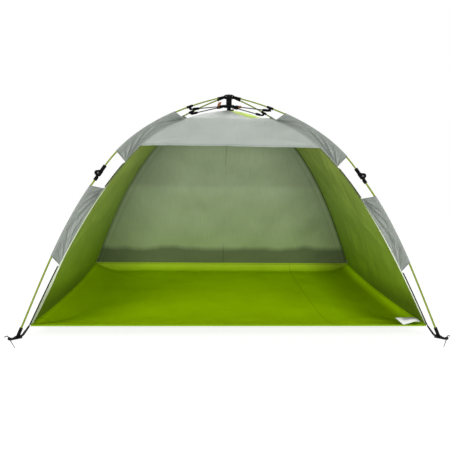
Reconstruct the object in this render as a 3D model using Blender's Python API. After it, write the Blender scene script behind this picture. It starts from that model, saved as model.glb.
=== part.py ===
"""Instant beach shelter: a four-pole umbrella frame outside a fabric cabin with an open front.

Metres, +Z up. The cabin's open side faces -Y. Each corner's frame is drawn in its own upright plane: reach is the
distance from the hub's axis, side is the distance out of that plane, height is above the ground.
"""

import math

import bmesh
import bpy
from mathutils import Vector

# Cabin, at the fabric's inner face
FLOOR_WIDTH = 2.2
FLOOR_DEPTH = 1.5
CORNER_RISE = 0.060
TUB_MID_RISE = 0.022
EDGE_DRAW_IN = 0.028
REAR_SLOPE_RUN = 0.035
SIDE_SLOPE_RUN = 0.200
FRONT_SLOPE_RUN = 0.420
FABRIC = 0.0015
SEAM_GAP = 0.0003
APEX_HEIGHT = 1.291
APEX_OPENING = 0.014
SHOULDER_REACH = 0.657
SHOULDER_DROP = 0.249
BROW_ARCH = 0.022
WALL_SAG = 0.022
ROOF_SAG = 0.012
FOLD_DEPTH = 0.005
APEX_SLOPE = 7.0
SHOULDER_SLOPE = 41.5
CORNER_SLOPE = 63.0
WALL_FOLDS = 5

# Poles
POLE_RADIUS = 0.00425
POLE_CLEARANCE = 0.0004
POLE_IN_SOCKET = 0.030
ARM_SLOPE = 15.0
ELBOW_SLOPE = 52.0
FOOT_SLOPE = 65.0
FOOT_STANDOFF = 0.067
ELBOW_SEAM_SHARE = 0.5492
ELBOW_STANDOFF = 0.0746
UPPER_HANDLE_SHARES = (0.38, 0.30)
LOWER_HANDLE_SHARES = (0.36, 0.33)

# Hub at the top of the frame
HUB_PIVOT_REACH = 0.027
HUB_STANDOFF = 0.089
HUB_TOP_RISE = 0.014
HUB_UNDERSIDE = 0.013
HUB_RADIUS = 0.034
HUB_DOME_DROP = 0.005
POST_RADIUS = 0.010
SLOT_BOTTOM_REACH = 0.0165
TONGUE_THICKNESS = 0.0066
RUNNING_GAP = 0.0004
ARM_EYE_RADIUS = 0.0085
ARM_SOCKET_START = 0.019
ARM_SOCKET_END = 0.066
ARM_SOCKET_RADIUS = 0.0072
ARM_MOUTH_RADIUS = 0.0080
PIN_RADIUS = 0.0022
ARM_HOLE_RADIUS = 0.0029

# Runner under the hub, and the stays from it to the poles
RUNNER_DROP = 0.0625
RUNNER_PIVOT_REACH = 0.030
RUNNER_FLANGE_RADIUS = 0.039
RUNNER_FLANGE_HALF = 0.0085
RUNNER_COLLAR_RADIUS = 0.0190
RUNNER_COLLAR_RISE = 0.0475
RUNNER_SLIDE_GAP = 0.0005
POST_BELOW_RUNNER = 0.004
STAY_SIDE = 0.0145
STAY_EYE_RADIUS = 0.0058
STAY_EYE_THICKNESS = 0.0050
STAY_ROD_RADIUS = 0.0024
STAY_FITTING_RADIUS = 0.0052
STAY_FITTING_START = 0.013
STAY_FITTING_END = 0.056
RUNNER_SLOT_REACH = 0.0215
TRUNNION_HALF = 0.0070

# Clips on the upper poles
CLIP_REACH = 0.311
CLIP_LENGTH = 0.047
CLIP_RADIUS = 0.0082
CLIP_LUG_DROP = 0.0175
CLIP_LUG_RADIUS = 0.0060
CLIP_LUG_THICKNESS = 0.0060
CLIP_BOSS_RADIUS = 0.0035

# Folding elbows
ELBOW_PIVOT_RISE = 0.0125
KNUCKLE_RADIUS = 0.0155
CHEEK_INNER = 0.0034
CHEEK_OUTER = 0.0076
ELBOW_TONGUE_RADIUS = 0.0140
FORK_SOCKET_START = 0.0165
FORK_SOCKET_END = 0.060
FORK_NECK = 0.024
FORK_SOCKET_RADIUS = 0.0105
FORK_INNER_END = 0.010
TONGUE_SOCKET_START = 0.0195
TONGUE_NECK = 0.0210
TONGUE_SOCKET_END = 0.044
ELBOW_POLE_IN = 0.022
RIVET_RADIUS = 0.0030
RIVET_HEAD_RADIUS = 0.0052
RIVET_HEAD = 0.0014

# Feet, pegs and corner straps
FOOT_SOCKET_RADIUS = 0.0092
FOOT_SOCKET_RISE = 0.052
FOOT_BASE_HALF_WIDTH = 0.0085
FOOT_BASE_HEIGHT = 0.0090
FOOT_HEEL = 0.022
FOOT_TOE = 0.041
RING_RADIUS = 0.0085
RING_HOLE_RADIUS = 0.0034
RING_HALF_WIDTH = 0.0030
PEG_RADIUS = 0.0025
PEG_TIP_LENGTH = 0.130
PEG_HEAD_LENGTH = 0.040
PEG_HOOK = 0.017
STRAP_WIDTH = 0.020
STRAP_THICKNESS = 0.0016

# Sleeves that hold the fabric to the poles
SLEEVE_WALL = 0.0009
SLEEVE_CLEARANCE = 0.0012
SLEEVE_HEM = 0.0019
SLEEVE_HEM_GAP = 0.0026
SLEEVE_HEM_DEPTH = 0.012
UPPER_SLEEVE_SHARES = (0.345, 0.865)
UPPER_SEAM_SHARES = (0.198, 0.470)
LOWER_SLEEVE_SHARES = (0.080, 0.550)
LOWER_SEAM_SHARES = (0.592, 0.829)

# Cup and toggle that the fabric's apex hangs from
PATCH_RADIUS = 0.018
PATCH_THICKNESS = 0.0016
CUP_RADIUS = 0.0130
CUP_WALL = 0.0020
TOGGLE_RADIUS = 0.0022
TOGGLE_LENGTH = 0.022

SHOULDER_SHARE = 0.40
BEZIER_HANDLE_SHARE = 1 / 3
ROUND = 12
PIN_SIDES = 10
MERGE = 1e-6
DIAGONAL = math.hypot(FLOOR_WIDTH / 2, FLOOR_DEPTH / 2)
FOOT_REACH = DIAGONAL + FOOT_STANDOFF
SHOULDER_HEIGHT = APEX_HEIGHT - SHOULDER_DROP
HUB_PIVOT_HEIGHT = APEX_HEIGHT + HUB_STANDOFF
HUB_HALF_TONGUE = TONGUE_THICKNESS / 2
CORNER_ANGLE = math.atan2(FLOOR_DEPTH, FLOOR_WIDTH)
CORNERS = {
    "front_left": math.pi + CORNER_ANGLE,
    "front_right": -CORNER_ANGLE,
    "rear_left": math.pi - CORNER_ANGLE,
    "rear_right": CORNER_ANGLE,
}
PEG_SIDES = {"front_left": 1, "front_right": -1, "rear_left": -1, "rear_right": 1}

for old in list(bpy.data.objects):
    bpy.data.objects.remove(old, do_unlink=True)


# Materials
def material(name, colour, roughness, metallic=0.0):
    found = bpy.data.materials.new(name)
    found.use_nodes = True
    shader = found.node_tree.nodes["Principled BSDF"]
    shader.inputs["Base Color"].default_value = (*colour, 1.0)
    shader.inputs["Roughness"].default_value = roughness
    shader.inputs["Metallic"].default_value = metallic
    found.diffuse_color = (*colour, 1.0)
    return found


BLACK_PLASTIC = material("black_plastic", (0.012, 0.012, 0.013), 0.42)
LIME_POLE = material("lime_pole", (0.48, 0.58, 0.10), 0.35)
STEEL = material("steel", (0.45, 0.45, 0.47), 0.30, 1.0)
GREY_CLOTH = material("grey_cloth", (0.36, 0.40, 0.37), 0.75)
GREEN_CLOTH = material("green_cloth", (0.19, 0.30, 0.05), 0.75)
BACK_CLOTH = material("back_cloth", (0.22, 0.28, 0.15), 0.75)
LIME_FLOOR = material("lime_floor", (0.26, 0.42, 0.005), 0.45)
BLACK_WEBBING = material("black_webbing", (0.015, 0.015, 0.016), 0.85)


# Curves in a corner's plane. A slope is the angle below the horizontal, in degrees
def heading(slope):
    angle = math.radians(slope)
    return Vector((math.cos(angle), -math.sin(angle)))


def outward(direction):
    return Vector((-direction.y, direction.x))


def bezier(start, start_slope, end, end_slope, handles, share):
    span = (end - start).length
    first = start + heading(start_slope) * span * handles[0]
    second = end - heading(end_slope) * span * handles[1]
    rest = 1 - share
    return (
        start * rest**3
        + first * 3 * rest**2 * share
        + second * 3 * rest * share**2
        + end * share**3
    )


def samples(count):
    return [step / count for step in range(count + 1)]


def between(low, high, share):
    return low + (high - low) * share


APEX = Vector((0, APEX_HEIGHT))
SHOULDER = Vector((SHOULDER_REACH, SHOULDER_HEIGHT))
SEAM_FOOT = Vector((DIAGONAL, CORNER_RISE))
EVEN_HANDLES = (BEZIER_HANDLE_SHARE, BEZIER_HANDLE_SHARE)


def seam(share):
    """The seam's (reach, height), from the apex at 0 over the shoulder to the floor corner at 1."""
    if share <= SHOULDER_SHARE:
        along = share / SHOULDER_SHARE
        return bezier(APEX, APEX_SLOPE, SHOULDER, SHOULDER_SLOPE, EVEN_HANDLES, along)
    along = (share - SHOULDER_SHARE) / (1 - SHOULDER_SHARE)
    return bezier(SHOULDER, SHOULDER_SLOPE, SEAM_FOOT, CORNER_SLOPE, EVEN_HANDLES, along)


def seam_tangent(share):
    step = 1 / 100
    return (seam(min(share + step, 1)) - seam(max(share - step, 0))).normalized()


HUB_PIVOT = Vector((HUB_PIVOT_REACH, HUB_PIVOT_HEIGHT))
ARM_LINE = heading(ARM_SLOPE)
ELBOW_LINE = heading(ELBOW_SLOPE)
FOOT_LINE = heading(FOOT_SLOPE)
ELBOW_CENTRE = seam(ELBOW_SEAM_SHARE) + outward(seam_tangent(ELBOW_SEAM_SHARE)) * ELBOW_STANDOFF
ELBOW_PIVOT = ELBOW_CENTRE + outward(ELBOW_LINE) * ELBOW_PIVOT_RISE
FOOT_POINT = Vector((FOOT_REACH, FOOT_BASE_HEIGHT))

ARM_MOUTH = HUB_PIVOT + ARM_LINE * ARM_SOCKET_END
ARM_BORE_END = ARM_MOUTH - ARM_LINE * POLE_IN_SOCKET
FORK_MOUTH = ELBOW_CENTRE - ELBOW_LINE * FORK_SOCKET_END
FORK_BORE_END = FORK_MOUTH + ELBOW_LINE * POLE_IN_SOCKET
TONGUE_MOUTH = ELBOW_CENTRE + ELBOW_LINE * TONGUE_SOCKET_END
TONGUE_BORE_END = TONGUE_MOUTH - ELBOW_LINE * ELBOW_POLE_IN
FOOT_MOUTH = FOOT_POINT - FOOT_LINE * FOOT_SOCKET_RISE
FOOT_BORE_END = FOOT_MOUTH + FOOT_LINE * (FOOT_SOCKET_RISE - FOOT_BASE_HEIGHT)


def upper_line(share):
    return bezier(ARM_MOUTH, ARM_SLOPE, FORK_MOUTH, ELBOW_SLOPE, UPPER_HANDLE_SHARES, share)


def lower_line(share):
    return bezier(TONGUE_MOUTH, ELBOW_SLOPE, FOOT_MOUTH, FOOT_SLOPE, LOWER_HANDLE_SHARES, share)


# Mesh building
def finished(name, mesh_data, sharp=40):
    """A mesh datablock with outward faces and round parts shaded smooth."""
    bmesh.ops.recalc_face_normals(mesh_data, faces=mesh_data.faces)
    mesh = bpy.data.meshes.new(name)
    mesh_data.to_mesh(mesh)
    mesh_data.free()
    mesh.shade_smooth()
    mesh.set_sharp_from_angle(angle=math.radians(sharp))
    return mesh


def in_plane(point, side=0):
    """A corner-plane point as local 3-D: X is reach, Y is side, Z is height."""
    return Vector((point.x, side, point.y))


def spun(name, start, direction, profile, steps=ROUND, ring=False):
    """A turned solid: profile is (distance along direction, radius), from the axis back to the axis.
    A ring's profile is a closed loop clear of the axis."""
    data = bmesh.new()
    axis = direction.normalized()
    across = Vector((1, 0, 0)) if abs(axis.y) > abs(axis.x) + abs(axis.z) else Vector((0, 1, 0))
    points = [data.verts.new(start + axis * along + across * radius) for along, radius in profile]
    ends = zip(points, points[1:] + points[:1]) if ring else zip(points, points[1:])
    edges = [data.edges.new(pair) for pair in ends]
    bmesh.ops.spin(
        data, geom=points + edges, cent=start, axis=axis, angle=math.tau, steps=steps, use_merge=True
    )
    bmesh.ops.remove_doubles(data, verts=data.verts, dist=MERGE)
    return finished(name, data)


def plate(name, outline, low_side, high_side):
    """A flat solid: an outline in the corner's plane, extruded sideways."""
    data = bmesh.new()
    face = data.faces.new([data.verts.new(in_plane(point, low_side)) for point in outline])
    made = bmesh.ops.extrude_face_region(data, geom=[face])["geom"]
    moved = [part for part in made if isinstance(part, bmesh.types.BMVert)]
    bmesh.ops.translate(data, verts=moved, vec=Vector((0, high_side - low_side, 0)))
    return finished(name, data)


def arc(centre, radius, start, end, steps):
    """Points round centre, the angles counted in degrees from the reach axis up."""
    found = []
    for share in samples(steps):
        angle = math.radians(between(start, end, share))
        found.append(centre + Vector((math.cos(angle), math.sin(angle))) * radius)
    return found


def helper(mesh):
    obj = bpy.data.objects.new(mesh.name + "_helper", mesh)
    bpy.context.scene.collection.objects.link(obj)
    return obj


def combined(name, base, added=(), cut=()):
    """One mesh: base joined with the added meshes, with the cut meshes taken away."""
    body = helper(base)
    others = []
    for operation, meshes in (("UNION", added), ("DIFFERENCE", cut)):
        for mesh in meshes:
            other = helper(mesh)
            others.append(other)
            modifier = body.modifiers.new(operation, "BOOLEAN")
            modifier.operation = operation
            modifier.solver = "EXACT"
            modifier.object = other
    graph = bpy.context.evaluated_depsgraph_get()
    mesh = bpy.data.meshes.new_from_object(body.evaluated_get(graph))
    for obj in [body, *others]:
        bpy.data.objects.remove(obj, do_unlink=True)
    data = bmesh.new()
    data.from_mesh(mesh)
    bmesh.ops.remove_doubles(data, verts=data.verts, dist=MERGE)
    bmesh.ops.dissolve_degenerate(data, edges=data.edges, dist=MERGE)
    return finished(name, data)


def bridge(data, first, second):
    """A band of quads between two closed loops of equal length."""
    count = len(first)
    for index in range(count):
        after = (index + 1) % count
        data.faces.new((first[index], first[after], second[after], second[index]))


def swept(name, path, outer, inner=None):
    """A tube along path, a list of corner-plane points. outer and inner give each station's loop of
    (outward, side) offsets; with an inner loop the solid is a sleeve, open at both ends."""
    data = bmesh.new()
    rings = {"outer": [], "inner": []}
    last = len(path) - 1
    for index, point in enumerate(path):
        along = (path[min(index + 1, last)] - path[max(index - 1, 0)]).normalized()
        normal = outward(along)
        for kind, shape in (("outer", outer), ("inner", inner)):
            if shape is None:
                continue
            loop = [in_plane(point + normal * lift, side) for lift, side in shape(index)]
            rings[kind].append([data.verts.new(place) for place in loop])
    for kind in rings:
        for first, second in zip(rings[kind], rings[kind][1:]):
            bridge(data, first, second)
    for end in (0, -1):
        if inner is None:
            data.faces.new(rings["outer"][end])
        else:
            bridge(data, rings["outer"][end], rings["inner"][end])
    return finished(name, data)


def circle(radius, steps, start=0.0):
    found = []
    for index in range(steps):
        angle = start + math.tau * index / steps
        found.append((radius * math.cos(angle), radius * math.sin(angle)))
    return found


# Assembly
def node(name, mesh, surface, parent=None):
    """One named part, its mesh drawn about its parent's pivot."""
    obj = bpy.data.objects.new(name, mesh)
    if not mesh.materials:
        mesh.materials.append(surface)
    bpy.context.scene.collection.objects.link(obj)
    obj.parent = parent
    return obj


def pivot(name, point, side, angle, parent=None):
    """An empty on a moving body's joint axis, turned to its corner."""
    obj = bpy.data.objects.new(name, None)
    obj.empty_display_size = POST_RADIUS
    bpy.context.scene.collection.objects.link(obj)
    obj.parent = parent
    obj.location = in_plane(point, side)
    obj.rotation_euler.z = angle
    return obj


def carried(mesh, point, side=0):
    """The mesh, moved so that the given corner-plane point is its origin."""
    for vertex in mesh.vertices:
        vertex.co -= in_plane(point, side)
    return mesh


def bored_socket(name, mouth, line, length, radius, mouth_radius, bore_depth):
    """A round plastic socket that ends at mouth, with a blind bore for the pole."""
    start = in_plane(mouth - line * length)
    direction = in_plane(line)
    bore = POLE_RADIUS + POLE_CLEARANCE
    profile = [
        (0, 0),
        (0, radius),
        (length - POLE_RADIUS * 2, radius),
        (length - POLE_RADIUS, mouth_radius),
        (length, mouth_radius),
        (length, bore),
        (length - bore_depth - POLE_CLEARANCE, bore),
        (length - bore_depth - POLE_CLEARANCE, 0),
    ]
    return spun(name, start, direction, profile)


def pin_across(name, point, radius, low_side, high_side):
    length = high_side - low_side
    profile = [(0, 0), (0, radius), (length, radius), (length, 0)]
    return spun(name, in_plane(point, low_side), Vector((0, 1, 0)), profile, PIN_SIDES)


# Hub: a slotted disc with a post that the runner slides on
def hub_mesh():
    top = HUB_PIVOT_HEIGHT + HUB_TOP_RISE
    underside = HUB_PIVOT_HEIGHT - HUB_UNDERSIDE
    runner_height = HUB_PIVOT_HEIGHT - RUNNER_DROP
    post_end = runner_height - RUNNER_FLANGE_HALF - POST_BELOW_RUNNER
    dome = top - HUB_DOME_DROP
    profile = [
        (0, 0),
        (0, POST_RADIUS * 0.8),
        (POST_RADIUS * 0.2, POST_RADIUS),
        (underside - post_end, POST_RADIUS),
        (underside - post_end, HUB_RADIUS),
        (dome - post_end, HUB_RADIUS),
        (top - post_end, HUB_RADIUS * 0.62),
        (top - post_end, 0),
    ]
    body = spun("hub_body", Vector((0, 0, post_end)), Vector((0, 0, 1)), profile, 24)
    slot_half = HUB_HALF_TONGUE + RUNNING_GAP
    cuts = []
    for angle in CORNERS.values():
        outline = [
            Vector((SLOT_BOTTOM_REACH, underside - FABRIC)),
            Vector((HUB_RADIUS + FABRIC, underside - FABRIC)),
            Vector((HUB_RADIUS + FABRIC, top + FABRIC)),
            Vector((SLOT_BOTTOM_REACH, top + FABRIC)),
        ]
        slot = plate("hub_slot", outline, -slot_half, slot_half)
        turn(slot, angle)
        cuts.append(slot)
    cuts.append(wire_ring("hub_channel", HUB_PIVOT_REACH, PIN_RADIUS + RUNNING_GAP, HUB_PIVOT_HEIGHT))
    return combined("top_hub", body, cut=cuts)


def turn(mesh, angle):
    """Turns a mesh about the hub's axis."""
    cosine, sine = math.cos(angle), math.sin(angle)
    for vertex in mesh.vertices:
        x, y, z = vertex.co
        vertex.co = (x * cosine - y * sine, x * sine + y * cosine, z)


def wire_ring(name, radius, wire, height, steps=24, sides=6):
    """A round ring of wire about the hub's axis."""
    profile = [(height + lift, radius + out) for lift, out in circle(wire, sides, math.pi / sides)]
    return spun(name, Vector((0, 0, 0)), Vector((0, 0, 1)), profile, steps, ring=True)


# Arm socket: the flat tongue that hinges in the hub, and the round socket that holds the upper pole
def arm_socket_mesh():
    lean = -ARM_SLOPE
    eye = arc(HUB_PIVOT, ARM_EYE_RADIUS, lean + 90, lean + 270, 8)
    reach = HUB_PIVOT + ARM_LINE * (ARM_SOCKET_START + ARM_SOCKET_RADIUS)
    lift = outward(ARM_LINE) * ARM_SOCKET_RADIUS * 0.7
    outline = [*eye, reach - lift, reach + lift]
    tongue = plate("arm_tongue", outline, -HUB_HALF_TONGUE, HUB_HALF_TONGUE)
    length = ARM_SOCKET_END - ARM_SOCKET_START
    socket = bored_socket(
        "arm_barrel", ARM_MOUTH, ARM_LINE, length, ARM_SOCKET_RADIUS, ARM_MOUTH_RADIUS, POLE_IN_SOCKET
    )
    hole = pin_across("arm_hole", HUB_PIVOT, ARM_HOLE_RADIUS, -HUB_RADIUS, HUB_RADIUS)
    return carried(combined("arm_socket", socket, [tongue], [hole]), HUB_PIVOT)


# Poles: straight in their sockets, bowed between them
POLE_STEPS = 17


def pole_mesh(name, line, first_end, last_end, origin):
    path = [first_end, *[line(share) for share in samples(POLE_STEPS)], last_end]
    loop = circle(POLE_RADIUS, 8, math.pi / 8)
    return carried(swept(name, path, lambda index: loop), origin)


# Elbow: a two-cheeked fork above, a single tongue below, and a rivet set outside the pole's line
def elbow_place(along, lift):
    """A point given along the elbow from its pivot, and lifted outward from the poles' line."""
    return ELBOW_CENTRE + ELBOW_LINE * along + outward(ELBOW_LINE) * lift


def fork_mesh():
    radius = FORK_SOCKET_RADIUS
    lean = -ELBOW_SLOPE
    outline = [
        elbow_place(FORK_INNER_END, -radius),
        *arc(ELBOW_PIVOT, KNUCKLE_RADIUS, lean - 50, lean + 150, 10),
        elbow_place(-FORK_NECK, radius * 0.75),
        elbow_place(-FORK_NECK, -radius),
    ]
    cheeks = [
        plate("cheek", outline, CHEEK_INNER, CHEEK_OUTER),
        plate("cheek", outline, -CHEEK_OUTER, -CHEEK_INNER),
    ]
    length = FORK_SOCKET_END - FORK_SOCKET_START
    socket = bored_socket(
        "fork_barrel", FORK_MOUTH, -ELBOW_LINE, length, radius, radius + POLE_CLEARANCE, POLE_IN_SOCKET
    )
    hole = pin_across("rivet_hole", ELBOW_PIVOT, RIVET_RADIUS + RUNNING_GAP, -HUB_RADIUS, HUB_RADIUS)
    return carried(combined("elbow_fork", socket, cheeks, [hole]), HUB_PIVOT)


def rivet_mesh():
    seat = CHEEK_OUTER + SEAM_GAP
    end = seat + RIVET_HEAD
    profile = [
        (0, 0),
        (0, RIVET_HEAD_RADIUS * 0.8),
        (RIVET_HEAD, RIVET_HEAD_RADIUS),
        (RIVET_HEAD, RIVET_RADIUS),
        (end + seat, RIVET_RADIUS),
        (end + seat, RIVET_HEAD_RADIUS),
        (end + end, RIVET_HEAD_RADIUS * 0.8),
        (end + end, 0),
    ]
    rivet = spun("elbow_rivet", in_plane(ELBOW_PIVOT, -end), Vector((0, 1, 0)), profile, PIN_SIDES)
    return carried(rivet, HUB_PIVOT)


def tongue_mesh():
    radius = FORK_SOCKET_RADIUS
    lean = -ELBOW_SLOPE
    half = CHEEK_INNER - RUNNING_GAP
    outline = [
        elbow_place(TONGUE_NECK, -radius * 0.75),
        elbow_place(TONGUE_NECK, radius * 0.6),
        *arc(ELBOW_PIVOT, ELBOW_TONGUE_RADIUS, lean + 30, lean + 270, 10),
    ]
    web = plate("tongue_web", outline, -half, half)
    length = TONGUE_SOCKET_END - TONGUE_SOCKET_START
    socket = bored_socket(
        "tongue_barrel", TONGUE_MOUTH, ELBOW_LINE, length, radius, radius - POLE_CLEARANCE, ELBOW_POLE_IN
    )
    hole = pin_across("rivet_hole", ELBOW_PIVOT, RIVET_RADIUS + RUNNING_GAP, -HUB_RADIUS, HUB_RADIUS)
    return carried(combined("elbow_tongue", socket, [web], [hole]), ELBOW_PIVOT)


# Foot: a leaning pole socket on a flat base, with a ring at the toe for the peg and a heel for the strap
RING_CENTRE = Vector((FOOT_REACH + FOOT_TOE, RING_RADIUS))


def foot_mesh():
    bore_depth = FOOT_SOCKET_RISE - FOOT_BASE_HEIGHT
    length = FOOT_SOCKET_RISE - FOOT_BASE_HEIGHT / 2
    radius = FOOT_SOCKET_RADIUS
    socket = bored_socket("foot_barrel", FOOT_MOUTH, -FOOT_LINE, length, radius, radius, bore_depth)
    height = FOOT_BASE_HEIGHT
    outline = [
        Vector((FOOT_REACH - FOOT_HEEL, 0)),
        Vector((RING_CENTRE.x - RING_RADIUS * 0.6, 0)),
        Vector((RING_CENTRE.x - RING_RADIUS * 0.6, height * 0.8)),
        Vector((FOOT_REACH + radius * 2, height)),
        Vector((FOOT_REACH + radius, height * 1.6)),
        Vector((FOOT_REACH - radius, height * 1.6)),
        Vector((FOOT_REACH - radius * 1.2, height)),
        Vector((FOOT_REACH - FOOT_HEEL, height)),
    ]
    base = plate("foot_base", outline, -FOOT_BASE_HALF_WIDTH, FOOT_BASE_HALF_WIDTH)
    ring = pin_across("foot_ring", RING_CENTRE, RING_RADIUS, -RING_HALF_WIDTH, RING_HALF_WIDTH)
    hole = pin_across("ring_hole", RING_CENTRE, RING_HOLE_RADIUS, -RING_RADIUS, RING_RADIUS)
    return carried(combined("foot", base, [socket, ring], [hole]), ELBOW_PIVOT)


def peg_mesh(side):
    """A steel peg lying through the ring, its tip on the ground and its hook turned outward."""
    tip = Vector((RING_CENTRE.x, side * PEG_TIP_LENGTH, PEG_RADIUS))
    ring = Vector((RING_CENTRE.x, 0, RING_RADIUS))
    line = (ring - tip).normalized()
    head = ring + line * PEG_HEAD_LENGTH
    bend = PEG_RADIUS * 2.5
    path = [
        tip,
        ring,
        head - line * bend,
        head - line * bend * 0.3 + Vector((bend * 0.3, 0, 0)),
        head + Vector((bend, 0, 0)),
        head + Vector((PEG_HOOK, 0, -bend * 0.5)),
    ]
    data = bmesh.new()
    rings = []
    last = len(path) - 1
    for index, point in enumerate(path):
        along = (path[min(index + 1, last)] - path[max(index - 1, 0)]).normalized()
        up = Vector((0, 0, 1))
        across = along.cross(up).normalized()
        up = across.cross(along)
        radius = PEG_RADIUS * (0.4 if index == 0 else 1)
        places = [point + across * a * radius + up * b * radius for a, b in circle(1, 8)]
        rings.append([data.verts.new(place) for place in places])
    for first, second in zip(rings, rings[1:]):
        bridge(data, first, second)
    data.faces.new(rings[0])
    data.faces.new(rings[-1])
    return carried(finished("peg", data), RING_CENTRE)


def band(name, path, thickness, low_side, high_side):
    """A strip of webbing along path, thickness measured in the corner's plane."""
    last = len(path) - 1
    upper, lower = [], []
    for index, point in enumerate(path):
        along = (path[min(index + 1, last)] - path[max(index - 1, 0)]).normalized()
        upper.append(point + outward(along) * thickness / 2)
        lower.append(point - outward(along) * thickness / 2)
    return plate(name, upper + lower[::-1], low_side, high_side)


def strap_mesh():
    heel_top = Vector((FOOT_REACH - FOOT_HEEL / 2 - FOOT_SOCKET_RADIUS / 2, FOOT_BASE_HEIGHT))
    seat = heel_top + Vector((0, SEAM_GAP + STRAP_THICKNESS / 2))
    front = seat - Vector((FOOT_HEEL / 3, 0))
    corner = SEAM_FOOT + Vector((FABRIC * 2.2, -FABRIC))
    path = [seat, front, front + (corner - front) * 0.2 - Vector((FABRIC, 0)), corner]
    half = STRAP_WIDTH / 2
    return carried(band("corner_strap", path, STRAP_THICKNESS, -half, half), ELBOW_PIVOT)


# Runner: a collar on the post with a slotted flange, where the stays hinge beside the poles' planes
RUNNER_PIVOT = Vector((RUNNER_PIVOT_REACH, HUB_PIVOT_HEIGHT - RUNNER_DROP))


def runner_mesh():
    bore = POST_RADIUS + RUNNER_SLIDE_GAP
    half = RUNNER_FLANGE_HALF
    profile = [
        (-half, bore),
        (-half, RUNNER_FLANGE_RADIUS * 0.9),
        (-half * 0.6, RUNNER_FLANGE_RADIUS),
        (half * 0.6, RUNNER_FLANGE_RADIUS),
        (half, RUNNER_FLANGE_RADIUS * 0.9),
        (half, RUNNER_COLLAR_RADIUS),
        (RUNNER_COLLAR_RISE, RUNNER_COLLAR_RADIUS),
        (RUNNER_COLLAR_RISE, bore),
    ]
    start = Vector((0, 0, RUNNER_PIVOT.y))
    body = spun("runner_body", start, Vector((0, 0, 1)), profile, 24, ring=True)
    slot_half = STAY_EYE_THICKNESS / 2 + RUNNING_GAP
    over = half * 1.2
    outline = [
        Vector((RUNNER_SLOT_REACH, RUNNER_PIVOT.y - over)),
        Vector((RUNNER_FLANGE_RADIUS, RUNNER_PIVOT.y - over)),
        Vector((RUNNER_FLANGE_RADIUS, RUNNER_PIVOT.y + over)),
        Vector((RUNNER_SLOT_REACH, RUNNER_PIVOT.y + over)),
    ]
    cuts = []
    for angle in CORNERS.values():
        slot = plate("runner_slot", outline, STAY_SIDE - slot_half, STAY_SIDE + slot_half)
        hole_half = TRUNNION_HALF + RUNNING_GAP
        hole_radius = PIN_RADIUS + RUNNING_GAP
        hole = pin_across(
            "runner_hole", RUNNER_PIVOT, hole_radius, STAY_SIDE - hole_half, STAY_SIDE + hole_half
        )
        for cutter in (slot, hole):
            turn(cutter, angle)
            cuts.append(cutter)
    return carried(combined("runner", body, apex_hook_meshes(), cuts), Vector((0, RUNNER_PIVOT.y)))


def apex_hook_meshes():
    """The cup under the runner that the fabric's apex hangs from, and its toggle."""
    top = RUNNER_PIVOT.y - RUNNER_FLANGE_HALF / 2
    base = APEX_HEIGHT + FABRIC + SEAM_GAP
    profile = [
        (0, 0),
        (0, PATCH_RADIUS),
        (PATCH_THICKNESS, PATCH_RADIUS),
        (PATCH_THICKNESS, CUP_RADIUS),
        (top - base, CUP_RADIUS),
        (top - base, CUP_RADIUS - CUP_WALL),
        (PATCH_THICKNESS, CUP_RADIUS - CUP_WALL),
        (PATCH_THICKNESS, 0),
    ]
    cup = spun("cup", Vector((0, 0, base)), Vector((0, 0, 1)), profile, 16)
    start = Vector((CUP_RADIUS - CUP_WALL / 2, 0, base + PATCH_THICKNESS + TOGGLE_RADIUS))
    bar = [(0, 0), (0, TOGGLE_RADIUS), (TOGGLE_LENGTH, TOGGLE_RADIUS), (TOGGLE_LENGTH, 0)]
    return [cup, spun("toggle", start, Vector((1, 0, 0)), bar, 8)]


# Clips and stays
def share_at_reach(line, reach):
    low, high = 0, 1
    for step in range(40):
        middle = (low + high) / 2
        if line(middle).x < reach:
            low = middle
        else:
            high = middle
    return low


CLIP_SHARE = share_at_reach(upper_line, CLIP_REACH)
CLIP_CENTRE = upper_line(CLIP_SHARE)
CLIP_LINE = (upper_line(CLIP_SHARE + 1 / 50) - upper_line(CLIP_SHARE - 1 / 50)).normalized()
STAY_END = CLIP_CENTRE - outward(CLIP_LINE) * CLIP_LUG_DROP


def clip_mesh():
    bore = POLE_RADIUS + POLE_CLEARANCE
    half = CLIP_LENGTH / 2
    profile = [
        (-half, bore),
        (-half, CLIP_RADIUS * 0.85),
        (-half * 0.8, CLIP_RADIUS),
        (half * 0.8, CLIP_RADIUS),
        (half, CLIP_RADIUS * 0.85),
        (half, bore),
    ]
    tube = spun("clip_tube", in_plane(CLIP_CENTRE), in_plane(CLIP_LINE), profile, ring=True)
    down = -outward(CLIP_LINE)
    reach = CLIP_LINE * CLIP_LUG_RADIUS
    top = CLIP_CENTRE + down * (bore + CLIP_RADIUS) / 2
    lean = math.degrees(math.atan2(down.y, down.x))
    outline = [top + reach * 1.6, top - reach * 1.6, *arc(STAY_END, CLIP_LUG_RADIUS, lean - 90, lean + 90, 6)]
    half_lug = CLIP_LUG_THICKNESS / 2
    lug = plate("clip_lug", outline, -half_lug, half_lug)
    boss_end = STAY_SIDE - STAY_FITTING_RADIUS - SEAM_GAP
    boss = pin_across("clip_boss", STAY_END, CLIP_BOSS_RADIUS, 0, boss_end)
    return carried(combined("pole_clip", tube, [lug, boss]), HUB_PIVOT)


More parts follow.
